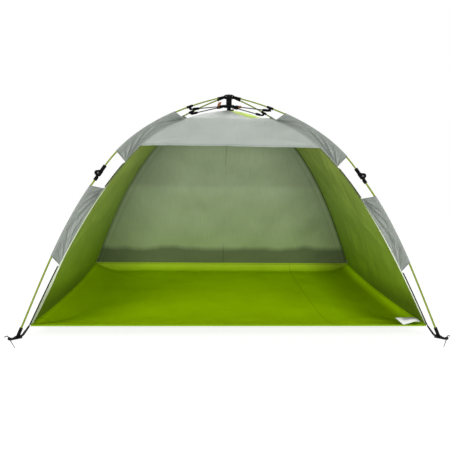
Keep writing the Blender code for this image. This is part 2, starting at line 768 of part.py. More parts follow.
def stay_fitting(name, eye_centre, line, length):
    """A flat eye and a round barrel; line points from the eye along the stay."""
    lean = math.degrees(math.atan2(line.y, line.x))
    lift = outward(line) * STAY_EYE_RADIUS * 0.6
    reach = eye_centre + line * (STAY_FITTING_START + STAY_FITTING_RADIUS)
    eye = arc(eye_centre, STAY_EYE_RADIUS, lean + 90, lean + 270, 6)
    half = STAY_EYE_THICKNESS / 2
    flat = plate(name + "_eye", [*eye, reach - lift, reach + lift], STAY_SIDE - half, STAY_SIDE + half)
    radius = STAY_FITTING_RADIUS
    profile = [
        (0, 0),
        (0, radius * 0.8),
        (radius * 0.3, radius),
        (length - radius, radius),
        (length, radius * 0.8),
        (length, 0),
    ]
    start = in_plane(eye_centre + line * STAY_FITTING_START, STAY_SIDE)
    return [spun(name + "_barrel", start, in_plane(line), profile, 8), flat]


def stay_mesh():
    """The rod with a fitting at each end; the inner eye has the trunnions that turn in the runner."""
    line = (STAY_END - RUNNER_PIVOT).normalized()
    length = STAY_FITTING_END - STAY_FITTING_START
    inner = stay_fitting("stay_inner", RUNNER_PIVOT, line, length)
    outer = stay_fitting("stay_outer", STAY_END, -line, length)
    inset = STAY_FITTING_START + length / 2
    rod_length = (STAY_END - RUNNER_PIVOT).length - inset * 2
    rod_profile = [(0, 0), (0, STAY_ROD_RADIUS), (rod_length, STAY_ROD_RADIUS), (rod_length, 0)]
    start = in_plane(RUNNER_PIVOT + line * inset, STAY_SIDE)
    rod = spun("stay_rod", start, in_plane(line), rod_profile, 8)
    trunnion = pin_across(
        "trunnion", RUNNER_PIVOT, PIN_RADIUS, STAY_SIDE - TRUNNION_HALF, STAY_SIDE + TRUNNION_HALF
    )
    return carried(combined("stay", rod, [*inner, *outer, trunnion]), RUNNER_PIVOT)


# Fabric panels, each a sheet thickened outward from its inner face
REACH_TO_X = FLOOR_WIDTH / 2 / DIAGONAL
REACH_TO_Y = FLOOR_DEPTH / 2 / DIAGONAL
FIRST_SEAM_SHARE = share_at_reach(seam, APEX_OPENING)


def across_curve(share, scale):
    """The seam seen square to a panel: (distance out, height) and its outward direction."""
    step = 1 / 100
    place = seam(share)
    before = seam(max(share - step, 0))
    after = seam(min(share + step, 1))
    tangent = Vector(((after.x - before.x) * scale, after.y - before.y)).normalized()
    return Vector((place.x * scale, place.y)), outward(tangent)


def panel_point(share, across, scale, other_scale, sag, dip, draw_in=0.0):
    """(out, along the panel, height) of a panel's inner face. across runs from -1 to 1 between its seams."""
    place, normal = across_curve(share, scale)
    bow = 1 - across * across
    belly = math.sin(math.pi * share) * bow
    edge = min(1.0, 4 * (1 - abs(across)))
    fold = math.sin(math.tau * WALL_FOLDS * share + 2 * across) * edge * bow * math.sin(math.pi * share)
    place = place - normal * (sag * belly + FOLD_DEPTH * fold)
    low = max(0.0, (share - SHOULDER_SHARE) / (1 - SHOULDER_SHARE))
    low_edge = bow * low**3
    along = (seam(share).x * other_scale - SEAM_GAP) * across
    return place.x - draw_in * low_edge, along, place.y - dip * low_edge


def sheet(name, rows, surface):
    """A panel from rows of points, thickened outward. Rows run down, points run so that faces look out."""
    data = bmesh.new()
    placed = [[data.verts.new(point) for point in row] for row in rows]
    for first, second in zip(placed, placed[1:]):
        for index in range(len(first) - 1):
            data.faces.new((first[index], second[index], second[index + 1], first[index + 1]))
    mesh = bpy.data.meshes.new(name)
    data.to_mesh(mesh)
    data.free()
    mesh.shade_smooth()
    obj = node(name, mesh, surface)
    solid = obj.modifiers.new("Cloth", "SOLIDIFY")
    solid.thickness = FABRIC
    solid.offset = 1
    solid.use_even_offset = True
    return obj


def spread(count):
    """Even values from -1 to 1."""
    return [2 * share - 1 for share in samples(count)]


def steps_in(edges_and_counts):
    """Positions through the given stretches: ((start, end, count), ...)."""
    found = []
    for start, end, count in edges_and_counts:
        found += [between(start, end, share) for share in samples(count)[:-1]]
    return [*found, edges_and_counts[-1][1]]


def depth_lines():
    """Where the floor and the side walls are divided, from the front edge to the rear one."""
    half = FLOOR_DEPTH / 2
    front = FRONT_SLOPE_RUN - half
    return steps_in(((-half, front, 5), (front, half - REAR_SLOPE_RUN, 4), (half - REAR_SLOPE_RUN, half, 1)))


ROOF_SHARES = steps_in(((FIRST_SEAM_SHARE, SHOULDER_SHARE, 7),))
WALL_SHARES = steps_in(((FIRST_SEAM_SHARE, SHOULDER_SHARE, 7), (SHOULDER_SHARE, 1, 9)))
WALL_COLUMNS = 10


def side_wall(name, hand, surface):
    """hand is -1 for the wall at -X and 1 for the wall at +X."""
    dip = CORNER_RISE - TUB_MID_RISE
    rows = []
    for share in WALL_SHARES:
        row = []
        for line in depth_lines():
            across = line / (FLOOR_DEPTH / 2)
            out, along, height = panel_point(
                share, across, REACH_TO_X, REACH_TO_Y, WALL_SAG, dip, EDGE_DRAW_IN
            )
            row.append(Vector((hand * out, along, height)))
        rows.append(row if hand > 0 else row[::-1])
    return sheet(name, rows, surface)


def rear_wall():
    rows = []
    for share in WALL_SHARES:
        row = []
        for across in spread(WALL_COLUMNS):
            out, along, height = panel_point(share, across, REACH_TO_Y, REACH_TO_X, WALL_SAG, 0)
            row.append(Vector((-along, out, height)))
        rows.append(row)
    return sheet("rear_wall", rows, BACK_CLOTH)


def front_canopy():
    """The roof over the entrance, ending in the brow's lower edge, which arches up a little."""
    rows = []
    for share in ROOF_SHARES:
        down = (share - FIRST_SEAM_SHARE) / (SHOULDER_SHARE - FIRST_SEAM_SHARE)
        row = []
        for across in spread(WALL_COLUMNS):
            arch = 1 - BROW_ARCH / SHOULDER_REACH * (1 - across * across) * down
            out, along, height = panel_point(share * arch, across, REACH_TO_Y, REACH_TO_X, ROOF_SAG, 0)
            row.append(Vector((along, -out, height)))
        rows.append(row)
    return sheet("front_canopy", rows, GREY_CLOTH)


def floor_height(x, y):
    """The tub's inner face: flat on the ground, curving up to the walls' lower edges and the taut front edge."""
    half_x, half_y = FLOOR_WIDTH / 2, FLOOR_DEPTH / 2
    bow = 1 - (y / half_y) ** 2
    side_rise = CORNER_RISE - (CORNER_RISE - TUB_MID_RISE) * bow
    side = max(0.0, 1 - (half_x - abs(x)) / SIDE_SLOPE_RUN)
    rear = max(0.0, 1 - (half_y - y) / REAR_SLOPE_RUN)
    front = max(0.0, 1 - (half_y + y) / FRONT_SLOPE_RUN)
    if abs(x) >= half_x - MERGE:
        return side_rise - SEAM_GAP
    rise = max(
        (side_rise - FABRIC) * side * side,
        (CORNER_RISE - FABRIC - SEAM_GAP) * rear,
        (CORNER_RISE - FABRIC) * front * front,
    )
    return FABRIC + rise


def floor():
    half_x, half_y = FLOOR_WIDTH / 2, FLOOR_DEPTH / 2
    flat = half_x - SIDE_SLOPE_RUN
    columns = steps_in(((-half_x, -flat, 4), (-flat, flat, 6), (flat, half_x, 4)))
    rows = []
    for y in depth_lines():
        narrowed = 1 - EDGE_DRAW_IN / half_x * (1 - (y / half_y) ** 2)
        rows.append([Vector((x * narrowed, y, floor_height(x, y))) for x in columns])
    return sheet("floor", rows, LIME_FLOOR)


# Sleeves: a drop-shaped tube of fabric round each pole, drawn to a hem along the seam
SLEEVE_STEPS = 8


def sleeve_mesh(name, line, line_shares, seam_shares):
    outer_radius = POLE_RADIUS + SLEEVE_CLEARANCE + SLEEVE_WALL
    inner_radius = POLE_RADIUS + SLEEVE_CLEARANCE
    half = SLEEVE_HEM / 2
    data = bmesh.new()
    rings = {"outer": [], "inner": []}
    for step in samples(SLEEVE_STEPS):
        along = between(line_shares[0], line_shares[1], step)
        pole = line(along)
        inward = -outward((line(along + 1 / 100) - line(along - 1 / 100)).normalized())
        foot = seam(between(seam_shares[0], seam_shares[1], step))
        down = (foot - pole).normalized()
        length = (foot - pole).length - SLEEVE_HEM_GAP
        for kind, radius, end, side in (
            ("outer", outer_radius, length, half),
            ("inner", inner_radius, length - SLEEVE_HEM_DEPTH, half - SLEEVE_WALL * 0.7),
        ):
            loop = []
            for share in samples(7):
                angle = math.radians(between(-110, 110, share))
                loop.append(in_plane(pole - inward * radius * math.cos(angle), radius * math.sin(angle)))
            loop += [in_plane(pole + down * end, side), in_plane(pole + down * end, -side)]
            rings[kind].append([data.verts.new(place) for place in loop])
    for kind in rings:
        for first, second in zip(rings[kind], rings[kind][1:]):
            bridge(data, first, second)
    for end in (0, -1):
        bridge(data, rings["outer"][end], rings["inner"][end])
    return finished(name, data)


def build():
    node("top_hub", hub_mesh(), BLACK_PLASTIC)
    node("hub_ring", wire_ring("hub_ring", HUB_PIVOT_REACH, PIN_RADIUS, HUB_PIVOT_HEIGHT), STEEL)
    slider = pivot("runner_slide", Vector((0, RUNNER_PIVOT.y)), 0, 0)
    node("runner", runner_mesh(), BLACK_PLASTIC, slider)

    arm_nodes = {
        "arm_socket": (arm_socket_mesh(), BLACK_PLASTIC),
        "upper_pole": (pole_mesh("upper_pole", upper_line, ARM_BORE_END, FORK_BORE_END, HUB_PIVOT), LIME_POLE),
        "pole_clip": (clip_mesh(), BLACK_PLASTIC),
        "elbow_fork": (fork_mesh(), BLACK_PLASTIC),
        "elbow_rivet": (rivet_mesh(), STEEL),
    }
    leg_nodes = {
        "elbow_tongue": (tongue_mesh(), BLACK_PLASTIC),
        "lower_pole": (
            pole_mesh("lower_pole", lower_line, TONGUE_BORE_END, FOOT_BORE_END, ELBOW_PIVOT),
            LIME_POLE,
        ),
        "foot": (foot_mesh(), BLACK_PLASTIC),
        "corner_strap": (strap_mesh(), BLACK_WEBBING),
    }
    stay = stay_mesh()
    upper_sleeve = sleeve_mesh("upper_sleeve", upper_line, UPPER_SLEEVE_SHARES, UPPER_SEAM_SHARES)
    lower_sleeve = sleeve_mesh("lower_sleeve", lower_line, LOWER_SLEEVE_SHARES, LOWER_SEAM_SHARES)
    for corner, angle in CORNERS.items():
        plane = pivot("corner_" + corner, Vector((0, 0)), 0, angle)
        arm = pivot("arm_fold_" + corner, HUB_PIVOT, 0, 0, plane)
        leg = pivot("elbow_fold_" + corner, ELBOW_PIVOT - HUB_PIVOT, 0, 0, arm)
        prop = pivot("stay_fold_" + corner, Vector((RUNNER_PIVOT_REACH, 0)), 0, 0, None)
        prop.parent = slider
        prop.rotation_euler.z = angle
        prop.location = (
            RUNNER_PIVOT_REACH * math.cos(angle),
            RUNNER_PIVOT_REACH * math.sin(angle),
            0,
        )
        for name, (mesh, surface) in arm_nodes.items():
            node(name + "_" + corner, mesh, surface, arm)
        for name, (mesh, surface) in leg_nodes.items():
            node(name + "_" + corner, mesh, surface, leg)
        ring = pivot("peg_slide_" + corner, RING_CENTRE - ELBOW_PIVOT, 0, 0, leg)
        node("peg_" + corner, peg_mesh(PEG_SIDES[corner]), STEEL, ring)
        node("stay_" + corner, stay, BLACK_PLASTIC, prop)
        node("upper_sleeve_" + corner, upper_sleeve, GREY_CLOTH, plane)
        node("lower_sleeve_" + corner, lower_sleeve, GREY_CLOTH, plane)

    side_wall("left_wall", -1, GREEN_CLOTH)
    side_wall("right_wall", 1, GREEN_CLOTH)
    rear_wall()
    front_canopy()
    floor()


build()
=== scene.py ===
"""Instant beach shelter: the looks of its frame, cloth and fittings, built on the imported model."""
import math

import bpy
import numpy as np
from mathutils import Matrix, Vector


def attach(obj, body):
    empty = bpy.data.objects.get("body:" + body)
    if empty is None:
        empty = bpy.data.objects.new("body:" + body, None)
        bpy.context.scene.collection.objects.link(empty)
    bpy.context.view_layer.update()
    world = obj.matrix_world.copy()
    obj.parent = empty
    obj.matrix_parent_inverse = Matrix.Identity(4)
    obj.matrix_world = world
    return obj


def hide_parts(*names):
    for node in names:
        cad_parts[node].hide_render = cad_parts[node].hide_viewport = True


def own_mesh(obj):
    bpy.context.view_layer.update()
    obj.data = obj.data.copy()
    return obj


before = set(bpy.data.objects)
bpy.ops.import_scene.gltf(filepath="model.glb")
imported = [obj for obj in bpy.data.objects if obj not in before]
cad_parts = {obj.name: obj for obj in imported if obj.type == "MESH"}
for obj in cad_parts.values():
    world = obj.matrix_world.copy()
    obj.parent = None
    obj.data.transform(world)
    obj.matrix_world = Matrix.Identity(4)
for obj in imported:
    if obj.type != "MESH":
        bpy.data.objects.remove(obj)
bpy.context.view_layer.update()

# The camera stands where the photographer stood: 3.2 m before the shelter and a little to its left,
# about 1 m up, looking slightly down and held under a degree out of level. 36.8 mm on a 36 mm sensor.
bpy.ops.object.select_all(action="DESELECT")
bpy.ops.object.camera_add(
    location=(-0.137, -3.186, 0.990),
    rotation=(math.radians(81.409), math.radians(-0.768), math.radians(-2.068)),
)
camera = bpy.context.object
camera.name = "camera"
camera.data.lens = 36.811
camera.data.sensor_width = 36
bpy.context.scene.camera = camera

# The studio: a white floor that runs out to the horizon, a white surround, and large soft lamps in
# front, above and to the sides, so that the inside of the cabin is lit as well.


def linear(hex_code):
    """A colour written as sRGB hex, as the shader's linear values."""
    parts = [int(hex_code[start : start + 2], 16) / 255 for start in (1, 3, 5)]
    return (*(c / 12.92 if c <= 0.04045 else ((c + 0.055) / 1.055) ** 2.4 for c in parts), 1.0)


def add(tree, kind, sockets=(), **settings):
    """Adds a shader node. sockets are its inputs, by name or in their order: each is a value, an
    output, or a node that stands for its first output."""
    made = tree.nodes.new("ShaderNode" + kind)
    for name, value in settings.items():
        setattr(made, name, value)
    for name, value in sockets.items() if isinstance(sockets, dict) else enumerate(sockets):
        if isinstance(value, bpy.types.Node):
            value = value.outputs[0]
        if isinstance(value, bpy.types.NodeSocket):
            tree.links.new(value, made.inputs[name])
        else:
            made.inputs[name].default_value = value
    return made


def new_material(name):
    """An empty material, and the tree to build it in."""
    made = bpy.data.materials.new(name)
    made.use_nodes = True
    made.node_tree.nodes.clear()
    return made, made.node_tree


def finished(tree, share, first, second, skin, height, strength, relief):
    """Ends a material: two colours blended by share, the skin's other values, and a bump from
    height, relief metres deep at full strength."""
    colour = add(tree, "Mix", {0: share, 6: first, 7: second}, data_type="RGBA")
    bump = add(tree, "Bump", {"Strength": strength, "Distance": relief, "Height": height})
    shader = add(tree, "BsdfPrincipled", {**skin, "Base Color": colour.outputs[2], "Normal": bump})
    add(tree, "OutputMaterial", {"Surface": shader})


def stretched(tree, place, per_metre, roughness=0.5):
    """Noise drawn out along an axis: per_metre is how many of its grains lie in a metre each way."""
    drawn = add(tree, "Mapping", {"Vector": place, "Scale": per_metre})
    noise = {"Vector": drawn, "Scale": 1.0, "Detail": 2.0, "Roughness": roughness}
    return add(tree, "TexNoise", noise).outputs["Fac"]


# Painted studio floor, matt white: it shows white to the camera and keeps a faint shadow.
studio_white, tree = new_material("matt_white_studio_paint")
rays = add(tree, "LightPath")
seen = rays.outputs["Is Camera Ray"]
glow = add(tree, "Math", (seen, 0.84), operation="MULTIPLY")
tone = add(tree, "Mix", {0: seen, 6: linear("#e6e6e6"), 7: linear("#808080")}, data_type="RGBA")
skin = {"Base Color": tone.outputs[2], "Roughness": 0.9}
skin.update({"Emission Color": (1, 1, 1, 1), "Emission Strength": glow})
add(tree, "OutputMaterial", {"Surface": add(tree, "BsdfPrincipled", skin)})
bpy.ops.mesh.primitive_plane_add(size=60, location=(0, 0, -0.001))
studio_floor = bpy.context.object
studio_floor.name = "studio_floor"
studio_floor.data.materials.append(studio_white)

world = bpy.data.worlds.new("studio_surround")
bpy.context.scene.world = world
world.use_nodes = True
tree = world.node_tree
tree.nodes.clear()
rays = add(tree, "LightPath")
shown = rays.outputs["Is Camera Ray"]
for ray in ("Is Glossy Ray", "Is Transmission Ray"):
    shown = add(tree, "Math", (shown, rays.outputs[ray]), operation="MAXIMUM")
strength = add(tree, "Mix", {0: shown, 2: 0.42, 3: 1.0}, data_type="FLOAT")
surround = add(tree, "Background", {"Color": (1, 1, 1, 1), "Strength": strength})
add(tree, "OutputWorld", {"Surface": surround})

for place, aim, size, watts in (
    ((-2.4, -2.6, 3.2), (0, -0.2, 0.6), 1.8, 38),
    ((2.6, -3.0, 2.6), (0, -0.1, 0.5), 1.8, 28),
    ((-1.1, -4.4, 0.7), (0.2, 0.5, 0.4), 1.6, 68),
    ((1.2, -4.4, 0.7), (-0.2, 0.5, 0.4), 1.6, 56),
    ((0.3, 2.0, 3.8), (0, 0.0, 0.7), 2.4, 60),
):
    bpy.ops.object.light_add(type="AREA", location=place)
    lamp = bpy.context.object
    lamp.data.shape = "DISK"
    lamp.data.size = size
    lamp.data.energy = watts
    lamp.rotation_euler = (Vector(aim) - Vector(place)).to_track_quat("-Z", "Y").to_euler()
bpy.context.scene.view_settings.view_transform = "Standard"

# Hub, runner, arm sockets, clips, elbows, feet and stay ends: injection-moulded black nylon. Their
# shapes come from the frame; the finish is near-black and half matt, with a moulding grain of 0.8 mm,
# and paler where edges rub.
black_nylon, tree = new_material("moulded_black_nylon")
place = add(tree, "TexCoord").outputs["Object"]
grain = add(tree, "TexNoise", {"Vector": place, "Scale": 1000 / 0.8, "Detail": 2.0, "Roughness": 0.6})
smear = add(tree, "TexNoise", {"Vector": place, "Scale": 45.0, "Detail": 4.0, "Roughness": 0.55})
smear = smear.outputs["Fac"]
worn = add(tree, "MapRange", (add(tree, "NewGeometry").outputs["Pointiness"], 0.52, 0.60))
worn = add(tree, "Math", (worn, smear), operation="MULTIPLY", use_clamp=True)
rough = add(tree, "MapRange", (smear, 0.3, 0.7, 0.40, 0.56))
skin = {"Roughness": rough, "IOR": 1.53, "Specular IOR Level": 0.05}
finished(tree, worn, linear("#020202"), linear("#0c0d0e"), skin, grain.outputs["Fac"], 0.25, 0.0002)

# The floor is 2.2 m wide and 1.5 m deep; each corner's plane stands on its diagonal.
HALF_WIDTH, HALF_DEPTH = 1.1, 0.75
CORNER_REACH = math.hypot(HALF_WIDTH, HALF_DEPTH)
TURN = math.atan2(HALF_DEPTH, HALF_WIDTH)
CORNERS = {"front_left": math.pi + TURN, "front_right": -TURN}
CORNERS.update({"rear_left": math.pi - TURN, "rear_right": TURN})
for stem in ("arm_socket", "pole_clip", "elbow_fork", "elbow_tongue", "foot", "stay"):
    for corner in CORNERS:
        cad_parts[f"{stem}_{corner}"].data.materials[0] = black_nylon
for name in ("top_hub", "runner"):
    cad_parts[name].data.materials[0] = black_nylon

# Metal: the hub's drawn steel wire ring and the elbows' rivets are zinc-plated and bright, and the
# pegs are bent from round bar with a dull dark finish.


def drawn_steel(name, hex_face, hex_line, rough_low, rough_high, streak_mm):
    """Steel wire and bar: fine drawing lines streak_mm apart, and handling smudges in the shine."""
    made, tree = new_material(name)
    place = add(tree, "TexCoord").outputs["Object"]
    lines = stretched(tree, place, (1000 / streak_mm, 1000 / streak_mm, 60))
    smudge = add(tree, "TexNoise", {"Vector": place, "Scale": 60.0, "Detail": 5.0})
    rough = add(tree, "MapRange", (smudge.outputs["Fac"], 0.3, 0.7, rough_low, rough_high))
    skin = {"Metallic": 1.0, "Roughness": rough}
    finished(tree, lines, linear(hex_face), linear(hex_line), skin, lines, 0.15, 0.0001)
    return made


zinc = drawn_steel("zinc_plated_steel", "#8c8e92", "#4a4c50", 0.34, 0.5, 0.5)
peg_steel = drawn_steel("dull_peg_steel", "#0b0c0d", "#1b1c1f", 0.50, 0.68, 0.5)
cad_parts["hub_ring"].data.materials[0] = zinc
for corner in CORNERS:
    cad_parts["elbow_rivet_" + corner].data.materials[0] = zinc
    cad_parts["peg_" + corner].data.materials[0] = peg_steel

# Poles: pultruded glass-fibre rod with a lime coating, 9.2 mm across above the elbows and 10.4 mm
# below. Each bows between its two sockets, where it runs straight. Drawn in the plane of +X and
# turned round to the four corners.


def heading(slope):
    """Unit direction in a corner's plane, slope degrees below the horizontal, going outward."""
    return np.array((math.cos(math.radians(slope)), -math.sin(math.radians(slope))))


# Where the sockets open, by their joints, and how steeply each pole leaves them. A run is a pole's
# start and slope, its end and slope, and how far its bow carries from either.
ARM_SLOPE, ELBOW_SLOPE, FOOT_SLOPE = 15, 52, 65
ARM_JOINT, ELBOW = np.array((0.027, 1.380)), np.array((0.919, 0.876))
FOOT_REACH = CORNER_REACH + 0.067
ARM_MOUTH = ARM_JOINT + heading(ARM_SLOPE) * 0.066
FORK_MOUTH = ELBOW - heading(ELBOW_SLOPE) * 0.060
TONGUE_MOUTH = ELBOW + heading(ELBOW_SLOPE) * 0.044
FOOT_MOUTH = np.array((FOOT_REACH, 0.009)) - heading(FOOT_SLOPE) * 0.052
UPPER_RUN = (ARM_MOUTH, ARM_SLOPE, FORK_MOUTH, ELBOW_SLOPE, (0.38, 0.30))
LOWER_RUN = (TONGUE_MOUTH, ELBOW_SLOPE, FOOT_MOUTH, FOOT_SLOPE, (0.36, 0.33))


def closed(smooth):
    """Faces the mesh being edited outward all over, and smooths it up to an angle in degrees."""
    bpy.ops.mesh.select_all(action="SELECT")
    bpy.ops.mesh.normals_make_consistent(inside=False)
    bpy.ops.object.mode_set(mode="OBJECT")
    bpy.ops.object.shade_smooth_by_angle(angle=math.radians(smooth))
    return bpy.context.object


def rod(name, start, start_slope, end, end_slope, handles, radius, tuck):
    """A round rod drawn as a curve with a bevel, its ends tucked straight into their sockets."""
    bpy.ops.object.select_all(action="DESELECT")
    bpy.ops.curve.primitive_bezier_curve_add(location=(0, 0, 0))
    drawn = bpy.context.object
    drawn.name = name
    spline = drawn.data.splines[0]
    spline.bezier_points.add(2)
    first, last = heading(start_slope), heading(end_slope)
    span = float(np.linalg.norm(end - start))
    for point, place, direction, back, ahead in zip(
        spline.bezier_points,
        (start - first * tuck, start, end, end + last * tuck),
        (first, first, last, last),
        (tuck / 3, tuck / 3, span * handles[1], tuck / 3),
        (tuck / 3, span * handles[0], tuck / 3, tuck / 3),
    ):
        point.handle_left_type = point.handle_right_type = "FREE"
        point.co = (place[0], 0, place[1])
        before, after = place - direction * back, place + direction * ahead
        point.handle_left = (before[0], 0, before[1])
        point.handle_right = (after[0], 0, after[1])
    drawn.data.resolution_u = 28
    drawn.data.bevel_depth = radius
    drawn.data.bevel_resolution = 5
    drawn.data.use_fill_caps = True
    bpy.ops.object.convert(target="MESH")
    bpy.ops.object.mode_set(mode="EDIT")
    return closed(40)


def set_round(master, stem, body, replaced=None):
    """Copies a piece drawn in the plane of +X to the four corners, each with its own mesh."""
    for corner, turn in CORNERS.items():
        piece = master.copy()
        piece.data = master.data.copy()
        piece.name = f"{stem}_{corner}"
        piece.data.name = piece.name
        bpy.context.scene.collection.objects.link(piece)
        piece.data.transform(Matrix.Rotation(turn, 4, "Z"))
        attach(piece, f"{body}_{corner}")
        if replaced:
            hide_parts(f"{replaced}_{corner}")
    bpy.data.objects.remove(master)


# Pigmented polyurethane coat on glass fibre: lime-olive with a soft shine, clouded over about 70 mm
# and flecked at 1.5 mm.
pole_coat, tree = new_material("lime_coated_glass_fibre")
place = add(tree, "TexCoord").outputs["Object"]
cloud = add(tree, "TexNoise", {"Vector": place, "Scale": 14.0, "Detail": 3.0})
fleck = add(tree, "TexNoise", {"Vector": place, "Scale": 700.0, "Detail": 2.0})
skin = {"Roughness": 0.45, "Specular IOR Level": 0.25, "Coat Weight": 0.10, "Coat Roughness": 0.20}
olive, pale = linear("#66770a"), linear("#7b8c12")
finished(tree, cloud.outputs["Fac"], olive, pale, skin, fleck.outputs["Fac"], 0.2, 0.0001)

for stem, body, run, radius, tuck in (
    ("upper", "arm", UPPER_RUN, 0.0046, 0.018),
    ("lower", "leg", LOWER_RUN, 0.0052, 0.016),
):
    pole = rod(stem, *run, radius, tuck)
    pole.data.materials.append(pole_coat)
    set_round(pole, f"pole_{stem}", body, f"{stem}_pole")

# Stay rods: thin galvanised wire rods moulded into black end fittings. The fittings are the
# frame's; a steel skin is drawn over the rod between them, beside the corner's plane.
STAY_START = np.array((0.030, 1.3175))
STAY_END = np.array((0.30503, 1.27770))
STAY_ASIDE = 0.0145
FITTING = 0.0575
stay_slope = math.degrees(math.atan2(STAY_START[1] - STAY_END[1], STAY_END[0] - STAY_START[0]))
wire_start = STAY_START + heading(stay_slope) * FITTING
wire_end = STAY_END - heading(stay_slope) * FITTING
THIRDS = (1 / 3, 1 / 3)
stay_rod = rod("stay_rod", wire_start, stay_slope, wire_end, stay_slope, THIRDS, 0.0034, 0.0012)
stay_rod.data.transform(Matrix.Translation((0, STAY_ASIDE, 0)))
galvanised = drawn_steel("galvanised_wire", "#3a3c44", "#303238", 0.42, 0.6, 0.6)
stay_rod.data.materials.append(galvanised)
set_round(stay_rod, "stay_wire", "stay")

# Stay grips: black nylon barrels moulded on the two ends of each rod. Each has a groove near its
# eye and narrows to the rod. The ones on the outer ends are turned to face back along the rod.


def barrel(name, profile, sides=28):
    """A turned piece along +X: profile is reach and radius, closed on the axis at both ends."""
    bpy.ops.object.select_all(action="DESELECT")
    bpy.ops.mesh.primitive_circle_add(vertices=sides, radius=profile[0][1], rotation=(0, math.pi / 2, 0))
    bpy.context.object.name = name
    bpy.ops.object.transform_apply(location=False, rotation=True, scale=False)
    bpy.ops.object.mode_set(mode="EDIT")
    bpy.ops.mesh.select_all(action="SELECT")
    bpy.ops.transform.translate(value=(profile[0][0], 0, 0))
    bpy.ops.mesh.edge_face_add()
    for (x0, r0), (x1, r1) in zip(profile, profile[1:]):
        bpy.ops.mesh.extrude_region_move(TRANSFORM_OT_translate={"value": (x1 - x0, 0, 0)})
        bpy.ops.transform.resize(value=(1, r1 / r0, r1 / r0), center_override=(x1, 0, 0))
    return closed(32)


GRIP = (
    (0.0125, 0.005), (0.0135, 0.0064), (0.0165, 0.0068), (0.02, 0.0068), (0.0205, 0.006), (0.0245, 0.006),
    (0.025, 0.0068), (0.047, 0.0068), (0.052, 0.0062), (0.0555, 0.0052), (0.057, 0.004),
)
stay_length = float(np.linalg.norm(STAY_END - STAY_START))
for end, turned in (("inner", False), ("outer", True)):
    swell = 1.25 if turned else 1.3
    grip = barrel("stay_grip_" + end, [(reach, radius * swell) for reach, radius in GRIP])
    if turned:
        grip.data.transform(Matrix.Rotation(math.pi, 4, "Z") @ Matrix.Translation((-stay_length, 0, 0)))
    grip.data.transform(
        Matrix.Translation((STAY_START[0], STAY_ASIDE, STAY_START[1]))
        @ Matrix.Rotation(math.radians(stay_slope), 4, "Y")
    )
    grip.data.materials.append(black_nylon)
    set_round(grip, "stay_grip_" + end, "stay")

# Small fastenings at the middle: domed steel pin heads pressed into the front of the hub and of the
# runner, and the black toggle under the runner that the cabin's apex hangs from.
for name, body, x, y, z in (
    ("hub_pin_left", "hub_and_cabin", -0.0205, -0.0240, 1.3800),
    ("hub_pin_right", "hub_and_cabin", 0.0205, -0.0240, 1.3800),
    ("runner_pin_left", "runner", -0.0215, -0.0300, 1.3190),
    ("runner_pin_right", "runner", 0.0205, -0.0305, 1.3190),
):
    head = barrel(name, ((0.0, 0.0026), (0.0035, 0.0028), (0.0048, 0.0024), (0.0055, 0.0012)), 20)
    head.data.transform(Matrix.Translation((x, y, z)) @ Matrix.Rotation(-math.pi / 2, 4, "Z"))
    head.data.materials.append(zinc)
    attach(head, body)
toggle = barrel("apex_toggle", ((-0.020, 0.0030), (-0.018, 0.0040), (0.018, 0.0040), (0.020, 0.0030)), 20)
toggle.data.transform(Matrix.Translation((0.013, -0.0150, 1.2925)) @ Matrix.Rotation(0.06, 4, "Y"))
toggle.data.materials.append(black_nylon)
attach(toggle, "runner")

# Corner straps: black polypropylene webbing, 20 mm wide, doubled and sewn round the foot's heel and
# gathered to a narrow end where it is sewn to the floor's corner.


def thickened(mesh, thickness, offset, smooth):
    """Puts a flat mesh in the scene with a thickness, to both sides at offset 0 and outward at 1."""
    made = bpy.data.objects.new(mesh.name, mesh)
    bpy.context.scene.collection.objects.link(made)
    bpy.ops.object.select_all(action="DESELECT")
    made.select_set(True)
    bpy.context.view_layer.objects.active = made
    solid = made.modifiers.new("Wall", "SOLIDIFY")
    solid.thickness = thickness
    solid.offset = offset
    solid.material_offset = offset
    bpy.ops.object.modifier_apply(modifier="Wall")
    bpy.ops.object.shade_smooth_by_angle(angle=math.radians(smooth))
    return made


def tape(name, line, across, thickness, material):
    """A flat strap along line, reaching to either side by across: one vector, or one per point."""
    line = [Vector(point) for point in line]
    reach = [Vector(a) for a in (across if hasattr(across[0], "__len__") else [across] * len(line))]
    points, faces, laid = [], [], [0.0]
    for before, after in zip(line, line[1:]):
        laid.append(laid[-1] + (after - before).length)
    steps = 2
    width = 2 * steps
    for place, half in zip(line, reach):
        points += [place + half * (step / steps - 1) for step in range(width + 1)]
    for row in range(len(line) - 1):
        for step in range(width):
            low = row * (width + 1) + step
            faces.append((low, low + 1, low + width + 2, low + width + 1))
    mesh = bpy.data.meshes.new(name)
    mesh.from_pydata(points, [], faces)
    cut = mesh.uv_layers.new(name="cut")
    edge = mesh.uv_layers.new(name="edge")
    for loop in mesh.loops:
        row, step = divmod(loop.vertex_index, width + 1)
        aside = (step / steps - 1) * reach[row].length
        cut.data[loop.index].uv = (aside, laid[row])
        edge.data[loop.index].uv = (reach[row].length - abs(aside), min(laid[row], laid[-1] - laid[row]))
    mesh.materials.append(material)
    return thickened(mesh, thickness, 0, 35)


# The scale at which a wave texture's bands lie 1 mm apart.
BANDS = 314.0


